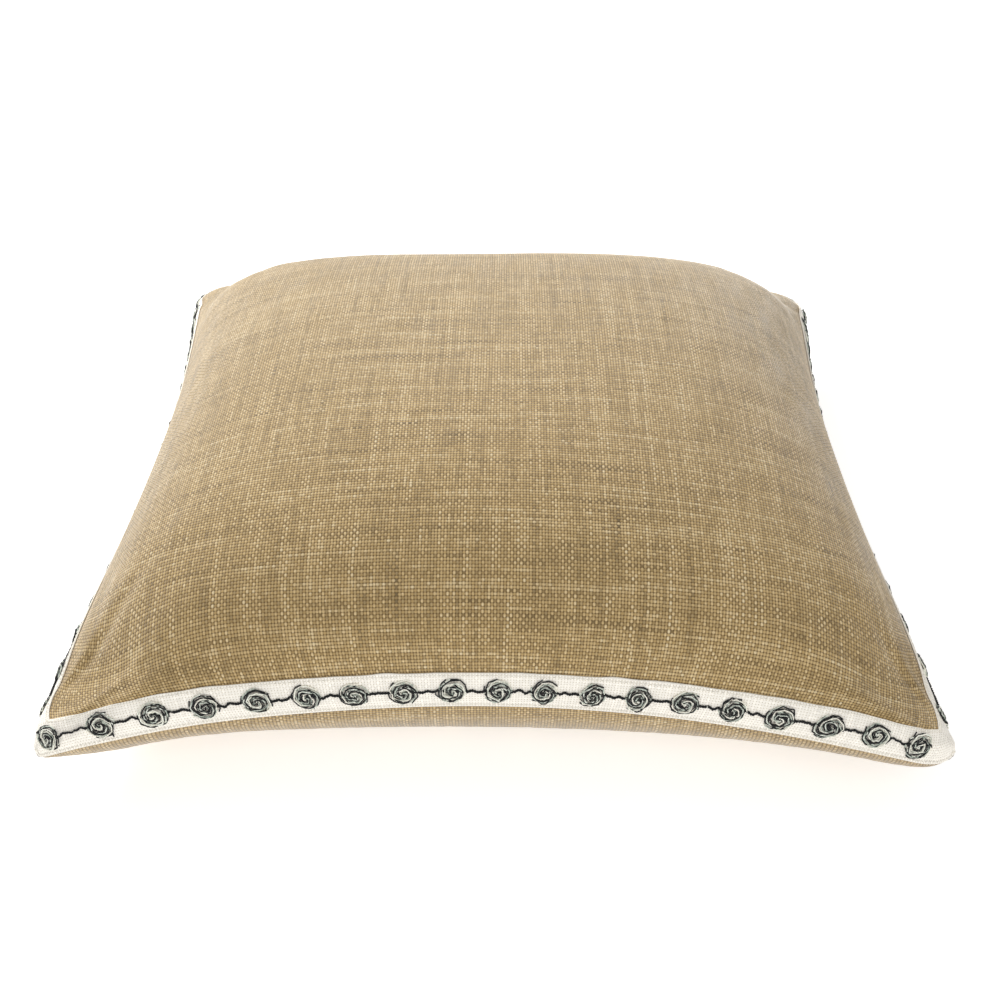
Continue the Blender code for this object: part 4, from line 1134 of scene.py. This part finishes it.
class CUSHION_OT_underside(MakerStep):
    """Make the two panels of the underside, open along the zip and sewn past its ends"""
    bl_idname = "cushion.underside"
    bl_label = "Underside"

    def execute(self, context):
        settings = context.scene.cushion_cloth
        spacing, coarseness = 2 * settings.warp_pitch, 2
        shares = np.sin(np.linspace(-1, 1, 4001) * math.pi / 2)
        still = np.zeros_like(shares)
        u, reach = even_shares(COVER.under(shares, still), shares, spacing, coarseness)
        reach = reach - reach[-1] / 2
        x = plan(u, share_at_y(u, ZIP_Y))[0]
        opening = SLOT_HALF + (SEAM_GAP / 2 - SLOT_HALF) * np.clip((np.abs(x) - ZIP_HALF) / SLOT_END, 0, 1)
        opening = opening * math.cos(ZIP_TILT)
        ends = {"main": (np.full_like(u, -1.0), share_at_y(u, ZIP_Y - opening)),
                "back": (share_at_y(u, ZIP_Y + opening), np.full_like(u, 1.0))}
        middle = len(u) // 2
        for part, (first, last) in ends.items():
            inside = shares[(shares > first[middle]) & (shares < last[middle])]
            inside = np.concatenate([[first[middle]], inside, [last[middle]]])
            v, along = even_shares(COVER.under(np.zeros_like(inside), inside), inside, spacing,
                                   coarseness)
            share = (v - first[middle]) / (last[middle] - first[middle])
            v = first[:, None] + (last - first)[:, None] * share[None, :]
            columns = np.repeat(u[:, None], len(share), axis=1)
            outer = COVER.under(columns, v)
            outer[..., 2] -= np.where(on_seam(columns, v), SEAM_GAP, 0)
            normals = grid_normals(outer)
            places = np.stack(np.meshgrid(reach, along, indexing="ij"), -1)
            edge = np.minimum(1, np.minimum(share, 1 - share) * 60)[None, :]
            slubs = wander(places[..., 0], places[..., 1] * 0.25, 0.012, 8)
            relief = settings.relief * 0.4 * (1 + slubs) * edge
            coarse = np.s_[::coarseness, ::coarseness]
            inner = (outer + normals * COVER_THICKNESS)[coarse]
            outer = outer + normals * relief[..., None]
            outer[..., 2] = np.maximum(outer[..., 2], FLOOR_CLEARANCE)
            panel = add_sheet("underside_" + part, outer, inner, coarseness, places,
                              material_for("cover_cloth"), upward=False)
            hand_over(panel, ["bottom_panel_" + part])
        return {"FINISHED"}


class CUSHION_OT_trim_band(MakerStep):
    """Make the four lengths of woven band, mitred at the corners"""
    bl_idname = "cushion.trim_band"
    bl_label = "Trim Band"

    def execute(self, context):
        settings = context.scene.cushion_trim
        coarseness = 4
        mitre = 0.045        # from the corner, where the band's ends are drawn together
        cells = coarseness * round(FLAT_SIDE / settings.band_pitch * 2 / coarseness)
        rows = coarseness * round(BAND_WIDTH / settings.band_pitch * 2 / coarseness)
        straight = FLAT_HALF - mitre
        for number, side in enumerate(SIDES):
            line = np.linspace(-FLAT_HALF, FLAT_HALF, cells + 1)
            along, inward = np.meshgrid(line, np.linspace(0, BAND_WIDTH, rows + 1), indexing="ij")
            stray = 0.00035 * wander(along, inward * 0.2, 0.03, 40 + number)
            inward = inward + stray * inward / BAND_WIDTH
            squeeze = (FLAT_HALF - inward - BAND_LIFT / 2 - straight) / mitre
            past = np.maximum(np.abs(along) - straight, 0)
            along = np.sign(along) * (np.minimum(np.abs(along), straight) + past * squeeze)
            step = BAND_WIDTH * 2 / rows
            places = np.stack([along, inward * settings.band_pitch / step], -1)
            hollow = dimples(places[..., 0] / settings.band_pitch, places[..., 1] / settings.band_pitch)
            hollow *= smooth(np.minimum(inward, BAND_WIDTH - inward) / 0.001)
            x, y = turned(side, along, inward)
            face = COVER.carry(np.stack([x, y, BAND_FACE - settings.band_relief * hollow], -1))
            coarse = np.s_[::coarseness, ::coarseness]
            back = COVER.carry(np.stack([x, y, np.full_like(x, BAND_LIFT)], -1)[coarse])
            band = add_sheet("band_" + side, face, back, coarseness, places, material_for("trim_cloth"))
            hand_over(band, ["trim_band_" + side])
        return {"FINISHED"}


class CUSHION_OT_rosettes(MakerStep):
    """Make the wound rosettes of each side and the twine that links them"""
    bl_idname = "cushion.rosettes"
    bl_label = "Rosettes"

    def execute(self, context):
        settings = context.scene.cushion_rosette
        material = material_for("rosette_yarn")
        rosettes, twine = rosette_pattern(), twine_pattern()
        inward = BAND_WIDTH / 2
        run = FLAT_SIDE - BAND_WIDTH
        pitch, count = settings.pitch, 18
        wider_first = 1 + 0.30 * np.exp(-np.arange(count) / 1.6)
        for number, side in enumerate(SIDES):
            draw = np.random.default_rng(60 + number)
            gaps = pitch * wider_first * draw.uniform(0.96, 1.04, count)
            lead = settings.lead + (LATE_START if side == "right" else 0.0)
            centres = lead - run / 2 + np.concatenate([[0.0], np.cumsum(gaps)])
            centres = centres[centres < run / 2 - 0.6 * pitch]
            stray = draw.uniform(-1, 1, (len(centres), 2)) * (0.0004, 0.0005)
            points = [(*turned(side, centre + off, inward + rise), 0.0)
                      for centre, (off, rise) in zip(centres, stray)]
            wound = run_pattern(rosettes, "wound_" + side, points, {
                "Radius": settings.radius, "Turns": settings.turns, "Strands": settings.strands,
                "Strand Radius": settings.strand_radius, "Lift": BAND_FACE + settings.strand_radius,
                "Dome": settings.dome, "Unevenness": settings.unevenness, "Seed": 10 * number,
                "Material": material})
            tails = draw.uniform(0.008, 0.013, 2)
            line = np.linspace(centres[0] - tails[0], centres[-1] + tails[1], 160)
            points = [(*turned(side, along, inward), 0.0) for along in line]
            links = run_pattern(twine, "twine_" + side, points, {
                "Ply Radius": settings.ply_radius, "Lift": BAND_FACE + settings.ply_radius,
                "Twist Length": 0.0034, "Spacing": 0.0004, "Wave": 0.009, "Material": material},
                edges=[(k, k + 1) for k in range(len(line) - 1)])
            place_points(wound, COVER.carry)
            place_points(links, COVER.carry)
            hand_over(wound, ["rosettes_" + side])
            hand_over(links, [])
        return {"FINISHED"}


class CUSHION_OT_stitching(MakerStep):
    """Make the stitch rows of the band and of the zip, one arched stitch at a time"""
    bl_idname = "cushion.stitching"
    bl_label = "Stitching"

    def execute(self, context):
        settings = context.scene.cushion_trim
        stitches = stitch_pattern()
        material = material_for("sewing_thread")
        common = {"Length": settings.stitch_length, "Thread Radius": settings.thread_radius,
                  "Arch": 0.00034, "Unevenness": 0.06, "Material": material}
        for seed, (name, inward) in enumerate((("outer", ROW_INSET), ("inner", BAND_WIDTH - ROW_INSET))):
            points, headings = [], []
            length = FLAT_SIDE - 2 * inward
            count = round(length / settings.stitch_pitch)
            for number, side in enumerate(SIDES):
                for k in range(count):
                    along = ((k + 0.5) / count - 0.5) * length
                    points.append((*turned(side, along, inward), 0.0))
                    headings.append(number * math.pi / 2)
            row = run_pattern(stitches, "stitches_" + name, points, {**common, "Seed": seed},
                              {"heading": headings})
            place_points(row, lambda flat: COVER.carry(flat + np.array((0.0, 0.0, BAND_FACE))))
            hand_over(row, ["band_thread_" + name])
        end = ZIP_HALF + SLOT_END
        for seed, (name, sign) in enumerate((("main", -1), ("back", 1))):
            count = round(2 * end / settings.stitch_pitch)
            across = sign * (SLOT_HALF + ZIP_ROW_ASIDE)
            points = [(((k + 0.5) / count - 0.5) * 2 * end, across, 0.0) for k in range(count)]
            row = run_pattern(stitches, "zip_stitches_" + name, points, {**common, "Seed": 5 + seed},
                              {"heading": [0.0] * count})
            place_points(row, on_zip)
            hand_over(row, ["zip_thread_" + name])
        following_copy("seam_thread", "lock_stitch", "sewing_thread")
        return {"FINISHED"}


class CUSHION_OT_zip(MakerStep):
    """Make the zip's tapes, its two coils of teeth and its stops"""
    bl_idname = "cushion.zip"
    bl_label = "Zip"

    def execute(self, context):
        settings = context.scene.cushion_zip
        coils = coil_pattern()
        start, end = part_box("zip_coil_main")[0][0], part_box("zip_coil_main")[1][0]
        count = int((end - start) / settings.tooth_pitch)
        pitch = (end - start) / (count + 0.5)
        for name, sign, slide in (("main", -1, 0.0), ("back", 1, 0.5)):
            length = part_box("zip_tape_" + name)[1][0]
            x, across = np.meshgrid(np.linspace(-length, length, 253),
                                    sign * np.linspace(*TAPE_EDGES, 13)[::sign], indexing="ij")
            ridge = 0.00006 * np.sin(np.arange(13) * math.pi / 2)[None, :] ** 2
            face = on_zip(np.stack([x, across, TAPE_LIFT + 0.0003 - ridge + 0 * x], -1))
            back = on_zip(np.stack([x, across, np.full_like(x, TAPE_LIFT - 0.0003)], -1)[::4, ::4])
            tape = add_sheet("tape_" + name, face, back, 4, np.stack([x, across], -1),
                             material_for("zip_tape"), upward=False)
            hand_over(tape, ["zip_tape_" + name])
            points = [(start + (k + 0.5 + slide) * pitch, 0.0, 0.0) for k in range(count)]
            teeth = run_pattern(coils, "teeth_" + name, points, {
                "Pitch": pitch, "Half Width": 0.0009, "Half Height": 0.00074,
                "Wire Radius": 0.0003, "Material": material_for("zip_nylon")})
            shift = np.array((0.0, sign * TEETH_ASIDE, TAPE_LIFT))
            place_points(teeth, lambda flat: on_zip(flat * np.array((1.0, sign, 1.0)) + shift))
            if sign < 0:
                teeth.data.flip_normals()
            hand_over(teeth, ["zip_coil_" + name])
        for node in ("zip_bottom_stop", "zip_top_stop_main", "zip_top_stop_back"):
            rounded_copy(node, 2 * settings.edge_radius, "cover")
        return {"FINISHED"}


def cad_copy(node, name, slot, step):
    """A copy of a CAD node, its mesh changed by one step."""
    mesh = frame["nodes"][node].data.copy()
    shape = bmesh.new()
    shape.from_mesh(mesh)
    bmesh.ops.remove_doubles(shape, verts=shape.verts, dist=WELD)
    step(shape)
    bmesh.ops.recalc_face_normals(shape, faces=shape.faces)
    shape.to_mesh(mesh)
    shape.free()
    mesh.materials.clear()
    mesh.materials.append(material_for(slot))
    return new_piece(name, mesh)


def following_copy(node, name, slot):
    """A finer copy of a CAD node inside the cover, moved as the cloth beside it has moved."""
    def refine(shape):
        bmesh.ops.subdivide_edges(shape, edges=shape.edges, cuts=2, use_grid_fill=True)

    part = cad_copy(node, name, slot, refine)
    part.data.polygons.foreach_set("use_smooth", [True] * len(part.data.polygons))
    place_points(part, COVER.follow)
    return hand_over(part, [node])


def rounded_copy(node, radius, body):
    """A copy of a metal CAD node with its edges rounded."""
    def flatten(shape):
        bmesh.ops.dissolve_limit(shape, angle_limit=math.radians(2), verts=shape.verts, edges=shape.edges)

    piece = cad_copy(node, node.replace("zip_", "metal_"), "zip_metal", flatten)
    change = piece.modifiers.new("Round", "BEVEL")
    change.width = radius
    change.segments = 2
    change.limit_method = "ANGLE"
    change.angle_limit = math.radians(32)
    change.harden_normals = True
    apply_modifiers(piece)
    return hand_over(piece, [node], body)


class CUSHION_OT_slider(MakerStep):
    """Make the zip's brass slider and its puller, each on its own body"""
    bl_idname = "cushion.slider"
    bl_label = "Slider and Puller"

    def execute(self, context):
        radius = context.scene.cushion_zip.edge_radius
        rounded_copy("zip_slider", radius, "slider")
        rounded_copy("zip_puller", radius, "puller")
        return {"FINISHED"}


class CUSHION_OT_insert(MakerStep):
    """Make the insert: its casing of plain cloth and its fibre, following the cover"""
    bl_idname = "cushion.insert"
    bl_label = "Insert"

    def execute(self, context):
        for node, slot in (("insert_casing_top", "casing_cloth"), ("insert_casing_bottom", "casing_cloth"),
                           ("insert_filling", "fibre_filling")):
            part = following_copy(node, node.replace("insert_", "inner_"), slot)
        return {"FINISHED"}


class CUSHION_OT_stage(MakerStep):
    """Set the floor, the lights and the camera"""
    bl_idname = "cushion.stage"
    bl_label = "Stage"

    def execute(self, context):
        settings = context.scene.cushion_stage
        scene = context.scene
        nodes = Look("Pale floor", 0.9, specular=0.1)
        tone = nodes.scaled(nodes.noise(nodes.object_place(), 3.0, 2.0), 0.01, 0.80)
        nodes.finish(nodes.join(tone, tone, tone))
        nodes.shader.inputs["Emission Color"].default_value = (1.0, 1.0, 1.0, 1.0)
        nodes.shader.inputs["Emission Strength"].default_value = settings.floor_glow
        below = nodes.add("ShaderNodeNewGeometry", out="Backfacing")
        clear = nodes.add("ShaderNodeBsdfTransparent")
        one_sided = nodes.add("ShaderNodeMixShader", {0: below, 1: nodes.shader.outputs[0], 2: clear})
        output = next(node for node in nodes.tree.nodes if node.type == "OUTPUT_MATERIAL")
        nodes.tree.links.new(one_sided, output.inputs["Surface"])
        half = 12.0
        floor = add_mesh("floor", [(-half, -half, 0), (half, -half, 0), (half, half, 0), (-half, half, 0)],
                         [(0, 1, 2, 3)], nodes.material)
        world = bpy.data.worlds.new("Studio")
        world.use_nodes = True
        background = world.node_tree.nodes["Background"]
        background.inputs["Color"].default_value = (1.0, 1.0, 1.0, 1.0)
        background.inputs["Strength"].default_value = settings.sky
        scene.world = world
        for name, power, size, spot in (("key", settings.key_power, 1.6, (-1.45, 1.85, 1.65)),
                                        ("fill", settings.fill_power, 2.4, (0.45, -2.1, 1.5))):
            light = bpy.data.lights.new(name, "AREA")
            light.energy, light.size = power, size
            lamp = new_piece(name, light)
            lamp.location = spot
            lamp.rotation_euler = (-Vector(spot)).to_track_quat("-Z", "Y").to_euler()
        camera = bpy.data.cameras.new("camera")
        camera.sensor_width, camera.lens = 36.0, settings.lens
        camera.clip_start, camera.clip_end = 0.01, 100.0
        holder = new_piece("camera", camera)
        holder.location = settings.eye
        tilt = Matrix.Rotation(math.pi / 2 - settings.down, 3, "X")
        holder.rotation_euler = (tilt @ Matrix.Rotation(settings.roll, 3, "Z")).to_euler()
        scene.camera = holder
        scene.view_settings.view_transform = "Standard"
        return {"FINISHED"}


STEPS = (CUSHION_OT_fill, CUSHION_OT_top_panel, CUSHION_OT_underside, CUSHION_OT_trim_band,
         CUSHION_OT_rosettes, CUSHION_OT_stitching, CUSHION_OT_zip, CUSHION_OT_slider,
         CUSHION_OT_insert, CUSHION_OT_stage)


class CUSHION_PT_maker(bpy.types.Panel):
    """The steps and sizes of the cushion."""
    bl_label = "Floor Cushion"
    bl_idname = "CUSHION_PT_maker"
    bl_space_type = "VIEW_3D"
    bl_region_type = "UI"
    bl_category = "Cushion"

    def draw(self, context):
        layout = self.layout
        for step in STEPS:
            layout.operator(step.bl_idname)
        for group in SETTINGS:
            box = layout.box()
            box.label(text=group.replace("cushion_", "").title())
            settings = getattr(context.scene, group)
            for name in settings.__class__.__annotations__:
                box.prop(settings, name)


SETTINGS = {"cushion_cloth": ClothSettings, "cushion_trim": TrimSettings,
            "cushion_rosette": RosetteSettings, "cushion_zip": ZipSettings,
            "cushion_stage": StageSettings}


def register():
    for group in SETTINGS.values():
        bpy.utils.register_class(group)
    for name, group in SETTINGS.items():
        setattr(bpy.types.Scene, name, PointerProperty(type=group))
    for step in STEPS:
        bpy.utils.register_class(step)
    bpy.utils.register_class(CUSHION_PT_maker)


def unregister():
    bpy.utils.unregister_class(CUSHION_PT_maker)
    for step in reversed(STEPS):
        bpy.utils.unregister_class(step)
    for name, group in SETTINGS.items():
        delattr(bpy.types.Scene, name)
        bpy.utils.unregister_class(group)


def main():
    """Make every piece in order."""
    register()
    for step in STEPS:
        group, name = step.bl_idname.split(".")
        getattr(getattr(bpy.ops, group), name)()


if __name__ == "__main__":
    main()
